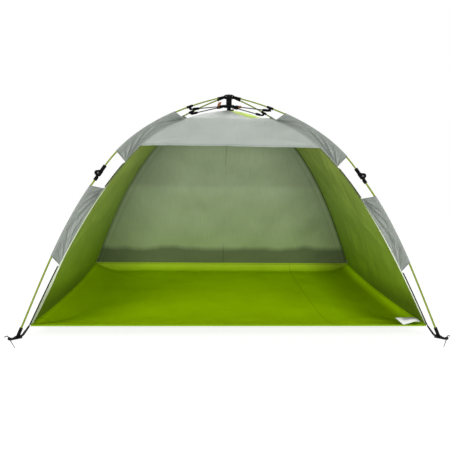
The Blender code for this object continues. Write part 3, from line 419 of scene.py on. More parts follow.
def webbing(name, hex_face, hex_rib, rib_mm):
    """Woven polypropylene: matt, with ribs across it and fine dust in the weave, drawn at rib_mm."""
    made, tree = new_material(name)
    cut = add(tree, "UVMap", uv_map="cut")
    rib = {"Vector": cut, "Scale": BANDS / rib_mm}
    ribs = add(tree, "TexWave", {**rib, "Distortion": 0.6, "Detail": 1.0}, bands_direction="Y")
    cords = add(tree, "TexWave", {**rib, "Distortion": 0.4}, bands_direction="X")
    weave = add(tree, "Math", (ribs.outputs["Fac"], cords.outputs["Fac"]), operation="MULTIPLY")
    dust = add(tree, "TexNoise", {"Vector": cut, "Scale": 90.0, "Detail": 4.0})
    blend = add(tree, "Math", (weave, dust.outputs["Fac"]), operation="MULTIPLY")
    skin = {"Roughness": 0.82, "Specular IOR Level": 0.25}
    finished(tree, blend, linear(hex_face), linear(hex_rib), skin, weave, 0.6, 0.0004)
    return made


black_webbing = webbing("black_polypropylene_webbing", "#020203", "#0c0c0d", 2.0)
HEEL = FOOT_REACH - 0.022
# How far beyond the heel, how high, and the half width there.
STRAP = (
    (0.013, 0.0112, 0.01), (0.004, 0.0114, 0.011), (-0.0035, 0.013, 0.0125), (-0.01, 0.02, 0.013),
    (-0.019, 0.0312, 0.0125), (-0.028, 0.0425, 0.0112), (-0.036, 0.0525, 0.0095), (-0.042, 0.06, 0.0078),
)
strap_line = [(HEEL + beyond, 0, height) for beyond, height, _ in STRAP]
strap = tape("strap", strap_line, [(0, half, 0) for _, _, half in STRAP], 0.0034, black_webbing)
set_round(strap, "corner_webbing", "leg", "corner_strap")

# Cabin walls: polyester taffeta, lime outside and coated grey-green inside, one panel for each side,
# cut to a curve at the seams, hung from the apex and held out by the sleeves. They sag inward and
# crease from the points where the sleeves pull.
APEX = np.array((0.0, 1.291))
SHOULDER = np.array((0.657, 1.042))
RIM_HEIGHT = 0.060
CORNER_FOOT = np.array((CORNER_REACH, RIM_HEIGHT))
TO_X, TO_Y = HALF_WIDTH / CORNER_REACH, HALF_DEPTH / CORNER_REACH
# Along a seam the shoulder is at 0.4, and the panels start a little below the apex. At the floor the
# middle of each side is drawn in.
AT_SHOULDER, FIRST = 0.4, 0.008
DRAWN_IN = 0.028
# Cloth is drawn 1.2 mm thick.
CLOTH = 0.0012


def eased(handles, share):
    """A point on a smooth curve drawn by four handles."""
    a, b, c, d = (np.asarray(handle) for handle in handles)
    rest = 1 - share
    return a * rest**3 + b * 3 * rest**2 * share + c * 3 * rest * share**2 + d * share**3


def bezier(start, start_slope, end, end_slope, handles, share):
    """The points at share of a curve in a corner's plane that leaves and arrives at given slopes."""
    span = np.linalg.norm(end - start)
    first = start + heading(start_slope) * span * handles[0]
    second = end - heading(end_slope) * span * handles[1]
    return eased((start, first, second, end), np.asarray(share, float)[..., None])


def seam(share):
    """The corner seam's reach and height: 0 is the apex, 0.4 the shoulder and 1 the floor's corner."""
    share = np.asarray(share, float)
    below = (share - AT_SHOULDER) / (1 - AT_SHOULDER)
    roof = bezier(APEX, 7, SHOULDER, 41.5, THIRDS, np.clip(share / AT_SHOULDER, 0, 1))
    wall = bezier(SHOULDER, 41.5, CORNER_FOOT, 63, THIRDS, np.clip(below, 0, 1))
    return np.where((share <= AT_SHOULDER)[..., None], roof, wall)


def panel(share, across, to_out, to_along, sag, dip, draw_in):
    """A hung panel's inner face: out, along and height, with its outward direction."""

    def curve(at):
        line = seam(at)
        return np.stack((line[..., 0] * to_out, line[..., 1]), -1)

    place = curve(share)
    slope = curve(np.minimum(share + 0.002, 1)) - curve(np.maximum(share - 0.002, 0))
    slope /= np.linalg.norm(slope, axis=-1, keepdims=True)
    normal = np.stack((-slope[..., 1], slope[..., 0]), -1)
    bow = 1 - across**2
    belly = np.sin(np.pi * share) * bow
    edge = np.minimum(1, 4 * (1 - np.abs(across)))
    fold = np.sin(math.tau * 5 * share + 2 * across) * edge * bow * np.sin(np.pi * share)
    place = place - normal * (sag * belly + 0.005 * fold)[..., None]
    low = bow * np.maximum(0, (share - AT_SHOULDER) / (1 - AT_SHOULDER)) ** 3
    along = (seam(share)[..., 0] * to_along - 0.0003) * across
    return place[..., 0] - draw_in * low, along, place[..., 1] - dip * low, normal


def creased(u, v, folds):
    """How high folds stand: each runs from a pulled point u0, v0, narrow and sharp, to a faint end."""
    lift = np.zeros_like(u)
    for u0, v0, u1, v1, width, height in folds:
        du, dv = u1 - u0, v1 - v0
        held = np.clip(((u - u0) * du + (v - v0) * dv) / (du * du + dv * dv), 0, 1)
        off = np.hypot(u - u0 - held * du, v - v0 - held * dv)
        lift += height * (1 - held) ** 0.7 * np.exp(-((off / (width * (0.45 + 0.9 * held))) ** 2))
    return lift


def rippled(u, v, seed, longest, shortest, height):
    """Slack cloth's small uneven waves, from a few crossing sine waves."""
    dice = np.random.default_rng(seed)
    total = np.zeros_like(u)
    for _ in range(14):
        length = math.exp(dice.uniform(math.log(shortest), math.log(longest)))
        turn, phase = dice.uniform(0, math.tau, 2)
        bend = 0.6 * np.sin((u * math.sin(turn) - v * math.cos(turn)) * math.tau / (length * 3.1) + phase)
        total += length * np.sin((u * math.cos(turn) + v * math.sin(turn)) * math.tau / length + phase + bend)
    return total * height / longest / 3


def cloth(name, points, flat_uv, edge_uv, thickness, outside, inside):
    """One sheet of cloth from a grid of points, with its cut's metres as UVs, given a thickness."""
    rows, columns = points.shape[:2]
    mesh = bpy.data.meshes.new(name)
    index = np.arange(rows * columns).reshape(rows, columns)
    faces = np.stack((index[:-1, :-1], index[1:, :-1], index[1:, 1:], index[:-1, 1:]), -1).reshape(-1, 4)
    mesh.from_pydata(points.reshape(-1, 3).tolist(), [], faces.tolist())
    corners = np.empty(len(mesh.loops), np.int32)
    mesh.loops.foreach_get("vertex_index", corners)
    for layer, values in (("cut", flat_uv), ("edge", edge_uv)):
        made = mesh.uv_layers.new(name=layer)
        made.data.foreach_set("uv", values.reshape(-1, 2)[corners].astype(np.float32).ravel())
    mesh.materials.append(outside)
    mesh.materials.append(inside)
    return thickened(mesh, thickness, 1, 50)


def line_at(tree, place, centre, breadth, tone):
    """A mark along a line: tone where place is at centre, easing to 1 at breadth to either side."""
    off = add(tree, "Math", (place, centre), operation="SUBTRACT")
    off = add(tree, "Math", (off,), operation="ABSOLUTE")
    return add(tree, "MapRange", (off, 0.0, breadth, tone, 1.0))


def taffeta(name, stops, drop, roughness, streak, hem_m, thread, marks=None, specular=0.3):
    """Plain-woven polyester taffeta with a coat: a soft shine, slubs along the warp, small crinkles,
    hems a shade darker with a stitch line. Threads are 0.3 mm; the weave is drawn at 2 mm. stops are
    the colours down the drop in metres, or one colour; marks gives the tones of one panel only."""
    # On several panels the stops and the marks are painted light and shade.
    if isinstance(stops, str):
        stops = ((0.0, stops), (1.0, stops))
    made, tree = new_material(name)
    cut = add(tree, "UVMap", uv_map="cut")
    edge = add(tree, "UVMap", uv_map="edge")
    place = add(tree, "SeparateXYZ", {"Vector": cut}).outputs
    rim = add(tree, "SeparateXYZ", {"Vector": edge}).outputs
    fallen = add(tree, "Math", (place["Y"], drop), operation="DIVIDE")
    graded = add(tree, "ValToRGB", {"Fac": fallen})
    ramp = graded.color_ramp
    for position, _ in stops[1:-1]:
        ramp.elements.new(position)
    for element, (position, hex_code) in zip(ramp.elements, stops):
        element.position = position
        element.color = linear(hex_code)
    cloud = add(tree, "TexNoise", {"Vector": cut, "Scale": 5.0, "Detail": 3.0, "Roughness": 0.55})
    warp = add(tree, "TexWave", {"Vector": cut, "Scale": BANDS / 2}, bands_direction="X")
    weft = add(tree, "TexWave", {"Vector": cut, "Scale": BANDS / 2}, bands_direction="Y")
    weave = add(tree, "Math", (warp.outputs["Fac"], weft.outputs["Fac"]), operation="MULTIPLY")
    light = add(tree, "MapRange", (stretched(tree, cut, (260, 7, 1)), 0.3, 0.7, 1 - streak, 1 + streak))
    patchy = add(tree, "MapRange", (cloud.outputs["Fac"], 0.3, 0.7, 0.95, 1.05))
    nearest = add(tree, "Math", (rim["X"], rim["Y"]), operation="MINIMUM")
    hem = add(tree, "MapRange", (nearest, hem_m, hem_m - 0.0012, 0.0, 1.0))
    shade = add(tree, "MapRange", (hem, 0.0, 1.0, 1.0, 0.86))
    for factor in (patchy, shade, *([marks(tree, cut, place["X"], place["Y"], rim["X"])] if marks else [])):
        light = add(tree, "Math", (light, factor), operation="MULTIPLY")
    off = add(tree, "Math", (nearest, hem_m - 0.003), operation="SUBTRACT")
    off = add(tree, "Math", (off,), operation="ABSOLUTE")
    line = add(tree, "Math", (off, 0.0006), operation="LESS_THAN")
    dash = add(tree, "TexWave", {"Vector": cut, "Scale": 90.0}, bands_direction="DIAGONAL")
    dash = add(tree, "Math", (dash.outputs["Fac"], 0.35), operation="GREATER_THAN")
    stitch = add(tree, "Math", (line, dash), operation="MULTIPLY")
    toned = add(tree, "VectorMath", {0: graded.outputs["Color"], "Scale": light}, operation="SCALE")
    crinkle = add(tree, "TexNoise", {"Vector": cut, "Scale": 26.0, "Detail": 4.0, "Roughness": 0.5})
    height = add(tree, "Math", (crinkle.outputs["Fac"], 3.0, weave), operation="MULTIPLY_ADD")
    height = add(tree, "Math", (hem, 1.2, height), operation="MULTIPLY_ADD")
    height = add(tree, "Math", (stitch, -0.6, height), operation="MULTIPLY_ADD")
    skin = {"Roughness": roughness, "Specular IOR Level": specular}
    finished(tree, stitch, toned, linear(thread), skin, height, 0.35, 0.0008)
    return made


def soft(piece, node=None):
    """A soft piece rides with the hub on its own mesh, and the frame's node it stands for is hidden."""
    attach(piece, "hub_and_cabin")
    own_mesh(piece)
    if node:
        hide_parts(node)
    return piece


def laid_out(half_width, across, points):
    """The panel's flat metres, across and down its middle, the distances to its edges, its drop."""
    middle = points[:, points.shape[1] // 2]
    down = np.concatenate(([0.0], np.cumsum(np.linalg.norm(np.diff(middle, axis=0), axis=-1))))
    u = half_width * across
    v = np.broadcast_to(down[:, None], u.shape)
    edge = np.stack((half_width * (1 - np.abs(across)), down[-1] - v), -1)
    return np.stack((u, v), -1), edge, float(down[-1])


def hung(share, across, to_out, to_along, sag, folds, ripples, hold, dip=0, draw_in=0, arch=1, face=-1):
    """A panel's points out, along and up, its UVs and its drop. Folds and ripples stand from its face
    and fade toward the seams and, the sooner the smaller hold is, toward its lower edge."""
    out, along, height, normal = panel(share * arch, across, to_out, to_along, sag, dip, draw_in)
    uv, edge, drop = laid_out(seam(share)[..., 0] * to_along, across, np.stack((out, along, height), -1))
    u, v = uv[..., 0], uv[..., 1]
    held = np.minimum(1, 6 * (1 - np.abs(across))) * np.minimum(1, hold * (1 - share))
    lift = (creased(u, v, folds) + rippled(u, v, *ripples)) * (held * np.minimum(1, 8 * share)) * face
    return out + normal[..., 0] * lift, along, height + normal[..., 1] * lift, uv, edge, drop


lime_fade = ((0.0, "#cfe683"), (1.0, "#b4d648"))
lime_outside = taffeta("lime_polyester_taffeta", lime_fade, 1.5, 0.5, 0.03, 0.012, "#8fae34")


def wall_lining_painted_shade(tree, cut, aside, down, rim):
    """Painted shade on the lining: darkest low down, where it turns under to the floor, more so near the
    front.
    """
    sway = add(tree, "TexNoise", {"Vector": cut, "Scale": 3.0, "Detail": 2.0})
    level = add(tree, "Math", (aside, -0.12, down), operation="MULTIPLY_ADD")
    level = add(tree, "Math", (sway.outputs["Fac"], 0.12, level), operation="MULTIPLY_ADD")
    return add(tree, "MapRange", (level, 1.62, 1.76, 1.0, 0.55))


# The lining's colours down the drop are painted light and shade on one coat: greyer and paler high up,
# greener and darker low down.
wall_lining_painted_light = ((0.0, "#9aa456"), (0.35, "#96a555"), (0.62, "#92a94a"), (0.9, "#85a222"))
wall_inside = taffeta(
    "green_coated_wall_lining", wall_lining_painted_light, 1.741, 0.6, 0.05, 0.010, "#5c7226", wall_lining_painted_shade, specular=0.15
)


def binding_painted_puckers(tree, cut, aside, down, rim):
    """The binding's lengthwise puckers, painted as streaks of light and shade."""
    return add(tree, "MapRange", (stretched(tree, cut, (420, 3, 1)), 0.35, 0.65, 0.70, 1.12))


# Each edge's binding: its colours down its length, painted highlight and shade on a pale tape, and
# how its width changes along the seam. Then the two stretches of seam that carry a cord.
BINDING_PAINTED_LIGHT = {
    "left": (
        ((0.0, "#5f6c3e"), (0.22, "#5f6c3e"), (0.29, "#c3cbb2"), (0.66, "#cdd4c0"), (0.80, "#9aa586"),
         (1.0, "#848f72")),
        ((0.405, 0.55), (0.56, 0.55), (0.60, 0.45), (0.80, 0.55), (0.89, 1.25), (0.96, 1.15), (0.995, 0.70)),
    ),
    "right": (
        ((0.0, "#55632f"), (0.30, "#55632f"), (0.38, "#b3bba0"), (0.55, "#dfe4d8"), (0.86, "#d5dacb"),
         (0.93, "#6f7b58"), (1.0, "#5d6a44")),
        ((0.405, 0.50), (0.56, 0.50), (0.60, 0.45), (0.80, 0.50), (0.93, 0.45), (0.995, 0.40)),
    ),
}
EDGE_CORDS = {
    "left": (("upper", (0.476, 0.566)), ("lower", (0.825, 0.998))),
    "right": (("upper", (0.486, 0.596)), ("lower", (0.841, 0.998))),
}
SHARES = np.linspace(FIRST, 1.0, 121)


def slack(share):
    """How far the front right seam hangs down near the apex, where it isn't pulled tight."""
    return 0.034 * np.sin(np.pi * np.clip((share - FIRST) / 0.160, 0, 1)) ** 0.8


for hand, side in ((-1, "left"), (1, "right")):
    share, across = np.meshgrid(SHARES, np.linspace(-1, 1, 91), indexing="ij")
    pull = [
        (-0.28, 0.36, 0.1, 0.95, 0.02, -0.004), (-0.36, 0.62, 0.05, 1.15, 0.018, -0.005),
        (-0.45, 0.8, -0.15, 1.35, 0.016, -0.004), (-0.6, 1.15, -0.3, 1.4, 0.014, 0.004),
        (-0.36, 0.62, -0.2, 1.05, 0.012, 0.004), (-0.7, 1.42, 0.2, 0.7, 0.026, 0.005),
        (0.7, 1.42, -0.2, 0.72, 0.026, 0.004), (0.36, 0.62, -0.05, 1.12, 0.018, -0.004),
        (0.45, 0.82, 0.12, 1.3, 0.016, 0.004),
    ]
    ripples = (11 + hand, 0.36, 0.09, 0.004)
    out, along, height, uv, edge, length = hung(
        share, across, TO_X, TO_Y, 0.022, pull, ripples, 14, dip=0.005, draw_in=DRAWN_IN
    )
    if hand > 0:
        height = height - slack(share) * np.clip((-across - 0.80) / 0.20, 0, 1)
    points = np.stack((hand * out, along, height), -1)
    if hand < 0:
        points, uv, edge = points[:, ::-1], uv[:, ::-1], edge[:, ::-1]
    wall = cloth(f"{side}_wall_cloth", points, uv, edge, CLOTH, lime_outside, wall_inside)
    soft(wall, f"{side}_wall")
    # Its free front edge is bound with a pale tape, and a black cord of webbing follows the seam
    # from the foot strap up to the lower sleeve and between the two sleeves.
    # The binding's colours along its length are painted highlight and shade.
    stops, widths = BINDING_PAINTED_LIGHT[side]
    stations = np.linspace(0.405, 0.995, 60)
    half = np.array((hand * 0.0072, -0.0050, -0.0036))
    wide = np.interp(stations, *zip(*widths))
    outer = [(hand * (r * TO_X + 0.0007), -r * TO_Y - 0.0020, z - 0.0036) for r, z in seam(stations)]
    binding = taffeta(f"{side}_pale_edge_binding", stops, 1.28, 0.55, 0.02, 0.0012, "#6d7560", binding_painted_puckers)
    bind = tape(
        f"{side}_edge_binding",
        [np.array(place) - half * k for place, k in zip(outer, wide)],
        [half * k for k in wide],
        0.0022,
        binding,
    )
    trims = [soft(bind)]
    for part, (first, last) in EDGE_CORDS[side]:
        rim = seam(np.linspace(first, last, 24))
        edging = [(hand * (r * TO_X + 0.0032), -r * TO_Y - 0.0026, z) for r, z in rim]
        half_cord = (hand * 0.0030, -0.0020, -0.0014)
        cord = tape(f"{side}_{part}_edge_cord", edging, half_cord, 0.0040, black_webbing)
        trims.append(soft(cord))

# Rear wall: the same cloth with a paler grey-green coat inside, in two halves joined by a seam down
# the middle, with a wavy band of painted shade low along the floor.


def rear_seams_and_painted_shade(tree, cut, aside, down, rim):
    """The joining seam's painted shadow, strong where it is bunched at both ends, and a wavy band of painted
    shade low along the floor.
    """
    off = add(tree, "Math", (aside,), operation="ABSOLUTE")
    thin = add(tree, "MapRange", (off, 0.0045, 0.002, 0.0, 1.0))
    top = add(tree, "MapRange", (down, 0.60, 0.56, 0.12, 1.0))
    bottom = add(tree, "MapRange", (down, 1.27, 1.33, 0.0, 1.0))
    strong = add(tree, "Math", (top, bottom), operation="MAXIMUM")
    dark = add(tree, "Math", (thin, strong), operation="MULTIPLY")
    seamed = add(tree, "Math", (dark, -0.30, 1.0), operation="MULTIPLY_ADD")
    # The wavy dark band low down is painted shade.
    wavy = stretched(tree, cut, (3.4, 0.0, 1.0), 0.4)
    level = add(tree, "Math", (wavy, 0.10, down), operation="MULTIPLY_ADD")
    factors = [add(tree, "MapRange", (level, 1.372, 1.422, 1.0, 0.42))]
    # The seam allowance beside each side seam: a dark stitch line, a pale fold in painted highlight and a
    # faint second line.
    for centre, breadth, tone in ((0.013, 0.007, 0.78), (0.033, 0.009, 1.13), (0.054, 0.008, 0.90)):
        factors.append(line_at(tree, rim, centre, breadth, tone))
    # Painted shade deepening toward the side seams.
    factors.append(add(tree, "MapRange", (rim, 0.0, 0.42, 0.80, 1.02)))
    for factor in factors:
        seamed = add(tree, "Math", (seamed, factor), operation="MULTIPLY")
    return seamed


# The rear lining's colours down the drop hold a painted shadow: darker down to half way, paler below it.
rear_lining_painted_shadow = ((0.0, "#949f86"), (0.50, "#96a187"), (0.53, "#a0ac8f"), (0.75, "#9ba984"), (1.0, "#9aab78"))
rear_inside = taffeta(
    "grey_green_coated_rear_lining", rear_lining_painted_shadow, 1.494, 0.6, 0.06, 0.010, "#6d7a55", rear_seams_and_painted_shade, specular=0.15
)
share, across = np.meshgrid(SHARES, np.linspace(-1, 1, 131), indexing="ij")
pull = [
    (-0.5, 0.5, -0.2, 1.05, 0.02, 0.004), (0.5, 0.5, 0.22, 1.05, 0.02, 0.004),
    (-0.75, 0.9, -0.35, 1.3, 0.018, -0.004), (0.75, 0.9, 0.35, 1.3, 0.018, -0.004),
    (-1.05, 1.38, -0.4, 1.05, 0.024, 0.005), (1.05, 1.38, 0.4, 1, 0.024, 0.005),
    (-0.52, 0.46, -0.84, 1.1, 0.012, 0.005), (-0.47, 0.46, -0.8, 1.25, 0.01, -0.005),
    (-0.42, 0.44, -0.76, 1.3, 0.011, 0.005), (-0.6, 0.62, -0.93, 1.35, 0.01, -0.004),
    (-0.66, 0.7, -0.99, 1.4, 0.011, 0.005), (0.5, 0.46, 0.8, 1.2, 0.012, 0.004),
    (0.64, 0.7, 0.97, 1.4, 0.01, -0.004), (0, 0.1, 0, 0.6, 0.01, 0.004),
    (0, 1.47, 0, 1.25, 0.008, 0.005), (0.03, 1.47, 0.035, 1.28, 0.006, 0.004),
    (-0.035, 1.47, -0.04, 1.3, 0.006, 0.004),
]
ripples = (5, 0.40, 0.10, 0.005)
out, along, height, uv, edge, length = hung(share, across, TO_Y, TO_X, 0.022, pull, ripples, 40)
points = np.stack((-along, out, height), -1)
rear = cloth("rear_wall_cloth", points, uv, edge, CLOTH, lime_outside, rear_inside)
soft(rear, "rear_wall")
# The seams to the side walls stand inward a little, bound in tape: pale on the left, dark on the right.
seam_tape = taffeta("dark_green_seam_binding", "#56643a", 1.0, 0.65, 0.02, 0.001, "#434e2b")
pale_tape = taffeta("pale_green_seam_binding", "#8b9a66", 1.0, 0.65, 0.02, 0.001, "#6b784c")
trims = []
for hand, side in ((-1, "left"), (1, "right")):
    rim = seam(np.linspace(0.02, 0.985, 90))
    inward = np.array((-hand * TO_X, -TO_Y, -0.35)) * (0.0030 if hand < 0 else 0.0042)
    spine = [(hand * r * TO_X + inward[0], r * TO_Y + inward[1], z + inward[2]) for r, z in rim]
    finish = pale_tape if hand < 0 else seam_tape
    trims.append(soft(tape(f"rear_{side}_seam_binding", spine, tuple(inward), 0.0016, finish)))

# Entrance canopy: silver-grey coated taffeta, from the apex to the brow over the open front. It
# breaks along a straight crease between the sleeves, and its free edge arches. The brow is bare.


def brow_crease_painted_highlight(tree, cut, aside, down, rim):
    """A faint painted highlight along the line where the cloth breaks over the crease."""
    return line_at(tree, down, 0.181, 0.006, 1.06)


# The canopy's colours down the drop are painted light: paler above the crease, where the cloth faces up into
# the light, darker on the steeper brow below.
brow_painted_light = ((0.0, "#b4b9b3"), (0.40, "#b2b7b2"), (0.46, "#a0a7a0"), (1.0, "#9ba29b"))
brow_cloth = taffeta("silver_coated_taffeta", brow_painted_light, 0.42, 0.5, 0.025, 0.014, "#7d857e", brow_crease_painted_highlight)
under_fade = ((0.0, "#8fa045"), (1.0, "#8b9c50"))
brow_under = taffeta("green_coated_canopy_lining", under_fade, 0.42, 0.55, 0.04, 0.012, "#5c7226")
share, across = np.meshgrid(np.linspace(FIRST, AT_SHOULDER, 81), np.linspace(-1, 1, 121), indexing="ij")
arch = 1 - 0.022 / 0.657 * (1 - across**2) * (share - FIRST) / (AT_SHOULDER - FIRST)
past = share - 0.188
sag = np.where(past > 0, 0.022, 0.014) * (1 - np.exp(-((past / 0.022) ** 2)))
pull = [
    (-0.46, 0.4, -0.1, 0.33, 0.009, 0.003), (0.46, 0.4, 0.08, 0.34, 0.009, 0.003),
    (-0.27, 0.19, -0.06, 0.25, 0.008, 0.004), (0.27, 0.19, 0.02, 0.215, 0.007, 0.007),
    (0.27, 0.19, 0.06, 0.25, 0.007, 0.007), (0.27, 0.19, 0.14, 0.3, 0.008, 0.006),
    (0.28, 0.2, 0.26, 0.36, 0.008, 0.006), (-0.28, 0.2, -0.27, 0.36, 0.008, 0.005),
    (0, 0.02, -0.1, 0.16, 0.006, 0.006), (0, 0.02, 0.05, 0.17, 0.005, 0.008),
    (0.02, 0.02, 0.13, 0.17, 0.006, 0.009), (0.04, 0.03, 0.22, 0.16, 0.006, 0.009),
]
ripples = (21, 0.22, 0.06, 0.003)
out, along, height, uv, edge, length = hung(
    share, across, TO_Y, TO_X, sag, pull, ripples, math.inf, arch=arch, face=1
)
height = height - slack(share) * np.clip(across, 0, 1) ** 1.4
points = np.stack((along, -out, height), -1)
canopy = cloth("front_canopy_cloth", points, uv, edge, CLOTH, brow_cloth, brow_under)
soft(canopy, "front_canopy")

# Groundsheet: lime coated oxford, welded into a shallow tub. Its sides rise to the walls and its
# front edge stands up as a taut sill with a sewn hem.


def tub(x, y):
    """The groundsheet's upper face, x before its sides are drawn in."""
    bow = 1 - (y / HALF_DEPTH) ** 2
    side_rise = RIM_HEIGHT - 0.005 * bow
    side = np.maximum(0, 1 - (HALF_WIDTH - np.abs(x)) / 0.2)
    rear = np.maximum(0, 1 - (HALF_DEPTH - y) / 0.075) ** 1.8
    front = np.maximum(0, 1 - (HALF_DEPTH + y) / 0.42)
    rise = np.maximum(side_rise * side**2, np.maximum(0.0602 * rear, 0.0585 * front**2))
    return 0.0015 + rise


def floor_marks(tree, cut, aside, down, rim):
    """The rear upstand and the right rim catch the light, the slopes inside them lie in shade, and a
    welded seam runs forward on the right."""
    tone = add(tree, "MapRange", (down, 1.436, 1.488, 1.0, 1.4))
    for start, end, dark in ((0.72, 0.99, 0.54), (-0.55, -0.85, 0.87)):
        slope = add(tree, "MapRange", (aside, start, end, 1.0, dark))
        tone = add(tree, "Math", (tone, slope), operation="MULTIPLY")
    for start, end, lit in ((1.030, 1.078, 1.08), (-1.02, -1.08, 0.96)):
        edge = add(tree, "MapRange", (aside, start, end, 0.5, lit))
        tone = add(tree, "Math", (tone, edge), operation="MAXIMUM")
    sway = add(tree, "TexNoise", {"Vector": cut, "Scale": 2.5, "Detail": 1.0})
    # A soft crease across the floor, darkened as painted shade, then the weld: each sways a little and is
    # darker than the cloth.
    lines = ((down, 0.05, 0.160, 0.010, 0.86), (aside, 0.02, 0.597, 0.006, 0.74))
    for line, swing, centre, breadth, dark in lines:
        swayed = add(tree, "Math", (sway.outputs["Fac"], swing, line), operation="MULTIPLY_ADD")
        mark = line_at(tree, swayed, centre, breadth, dark)
        tone = add(tree, "Math", (tone, mark), operation="MULTIPLY")
    return tone


# The groundsheet's colours from front to back are painted light and shade on one lime cloth, paler toward the
# back.
floor_painted_light = (
    (0.0, "#a4cd06"), (0.25, "#a4cc02"), (0.6, "#a6cd02"), (0.87, "#b0da02"), (0.95, "#aed802"),
    (1.0, "#9cb52e"),
)
floor_top = taffeta(
    "lime_coated_oxford", floor_painted_light, 1.5, 0.6, 0.02, 0.012, "#4f6a00", floor_marks, specular=0.0
)
floor_under = taffeta("lime_coated_oxford_underside", "#9cc60c", 1.5, 0.5, 0.02, 0.012, "#5f7d0a")
deep, broad = np.linspace(-HALF_DEPTH, HALF_DEPTH, 131), np.linspace(-HALF_WIDTH, HALF_WIDTH, 171)
y, x = np.meshgrid(deep, broad, indexing="ij")
z = tub(x, y)
pull = [
    (-1.08, 0.72, -0.6, 0.35, 0.016, 0.006), (1.08, 0.72, 0.7, 0.3, 0.016, 0.006),
    (0.585, 0.74, 0.585, -0.74, 0.007, 0.003), (-0.95, 0.72, -0.8, 0.45, 0.008, 0.006),
    (-1, 0.7, -0.88, 0.3, 0.009, 0.006), (0.9, 0.7, 0.8, 0.45, 0.008, 0.005),
    (-1.02, -0.68, -0.2, -0.58, 0.01, 0.005), (1.02, -0.68, 0.2, -0.6, 0.01, 0.005),
    (-1.08, -0.72, -0.7, -0.4, 0.02, 0.005), (1.08, -0.72, 0.72, -0.42, 0.02, 0.005),
    (-1, 0.3, -0.7, 0.2, 0.018, 0.004), (1, 0.2, 0.7, 0.14, 0.018, 0.004),
]
edge = np.stack((HALF_WIDTH - np.abs(x), HALF_DEPTH - np.abs(y)), -1)
held = np.minimum(1, 10 * edge[..., 0] / HALF_WIDTH) * np.minimum(1, 10 * edge[..., 1] / HALF_DEPTH)
z = z + np.maximum(0, creased(x, y, pull) + rippled(x, y, 33, 0.50, 0.16, 0.003)) * held
narrowed = x * (1 - DRAWN_IN / HALF_WIDTH * (1 - (y / HALF_DEPTH) ** 2))
points = np.stack((narrowed, y, z), -1)
uv = np.stack((x, y + HALF_DEPTH), -1)
groundsheet = cloth("groundsheet", points, uv, edge, CLOTH, floor_under, floor_top)
soft(groundsheet, "floor")
hem_green = taffeta("lime_front_hem", "#78990f", 1.5, 0.6, 0.03, 0.0015, "#4f6a00", specular=0.1)
sill = [(x, -0.7508, 0.0592) for x in np.linspace(-1.096, 1.096, 60)]
sill_hem = soft(tape("sill_hem", sill, (0, 0.0008, 0.0042), 0.0026, hem_green))

# Sleeves: grey satin, each one strip folded round its pole and sewn flat to the cabin's seam. The
# pull of the seam draws folds that fan out from the ends.
sleeve_grey = taffeta("grey_satin", "#7d837d", 1.0, 0.42, 0.04, 0.006, "#4c514d", specular=0.4)
# How far the ends of some sleeves stand from the plain pattern, along the pole and along the seam.
SLEEVE_SHIFT = {
    "lower_front_left": ((-0.040, -0.016), (-0.020, -0.008)),
    "lower_front_right": ((0.017, 0.017), (0.008, 0.008)),
    "upper_front_right": ((0.0, 0.025), (0.0, 0.010)),
    "upper_rear_left": ((-0.040, 0.0), (-0.022, 0.0)),
    "upper_rear_right": ((-0.040, 0.0), (-0.022, 0.0)),
}
STILL = ((0, 0), (0, 0))
# The strip's grid: 141 rows along the pole; across it a web, a ring round the pole, and a web again.
count = 141
step = np.linspace(0, 1, count)
radius = 0.0066
web = np.linspace(1, 0.06, 31)
ring = np.radians(np.linspace(105, -105, 13))
width = len(web) * 2 + len(ring)
# A sleeve's pole, its shares of the pole and of the seam, its ripples' seed and its folds. A fold
# starts by the seam at the pole's far end, 1, or near end, 0, and runs to a share of the pole and of
# the web, with a breadth and a height.
SLEEVES = {
    "upper": (UPPER_RUN, (0.345, 0.865), (0.198, 0.470), 3, (
        (1, 0.2, 0.05, 0.005, 0.006), (1, 0.38, 0, 0.0045, -0.0055),
        (1, 0.52, 0, 0.0045, 0.006), (1, 0.64, 0, 0.004, -0.005),
        (1, 0.75, 0, 0.004, 0.0055), (1, 0.84, 0, 0.0035, -0.0045),
        (1, 0.92, 0, 0.0032, 0.004), (0, 0.62, 0.3, 0.0045, 0.005),
        (0, 0.45, 0, 0.0045, -0.005), (0, 0.3, 0, 0.004, 0.0055),
        (0, 0.18, 0, 0.0036, -0.0045), (0, 0.09, 0, 0.0032, 0.004),
    )),
    "lower": (LOWER_RUN, (0.080, 0.550), (0.592, 0.829), 4, (
        (0, 0.09, 0, 0.0034, 0.0045), (0, 0.17, 0, 0.0036, -0.0055),
        (0, 0.26, 0, 0.0042, 0.0065), (0, 0.36, 0, 0.0045, -0.006),
        (0, 0.5, 0, 0.005, 0.007), (0, 0.66, 0.1, 0.0055, -0.006),
        (0, 0.85, 0.3, 0.006, 0.0055), (1, 0.35, 0.2, 0.005, 0.0045),
        (1, 0.55, 0, 0.0045, -0.0045), (1, 0.72, 0, 0.0042, 0.0045),
        (1, 0.86, 0, 0.0036, -0.004),
    )),
}
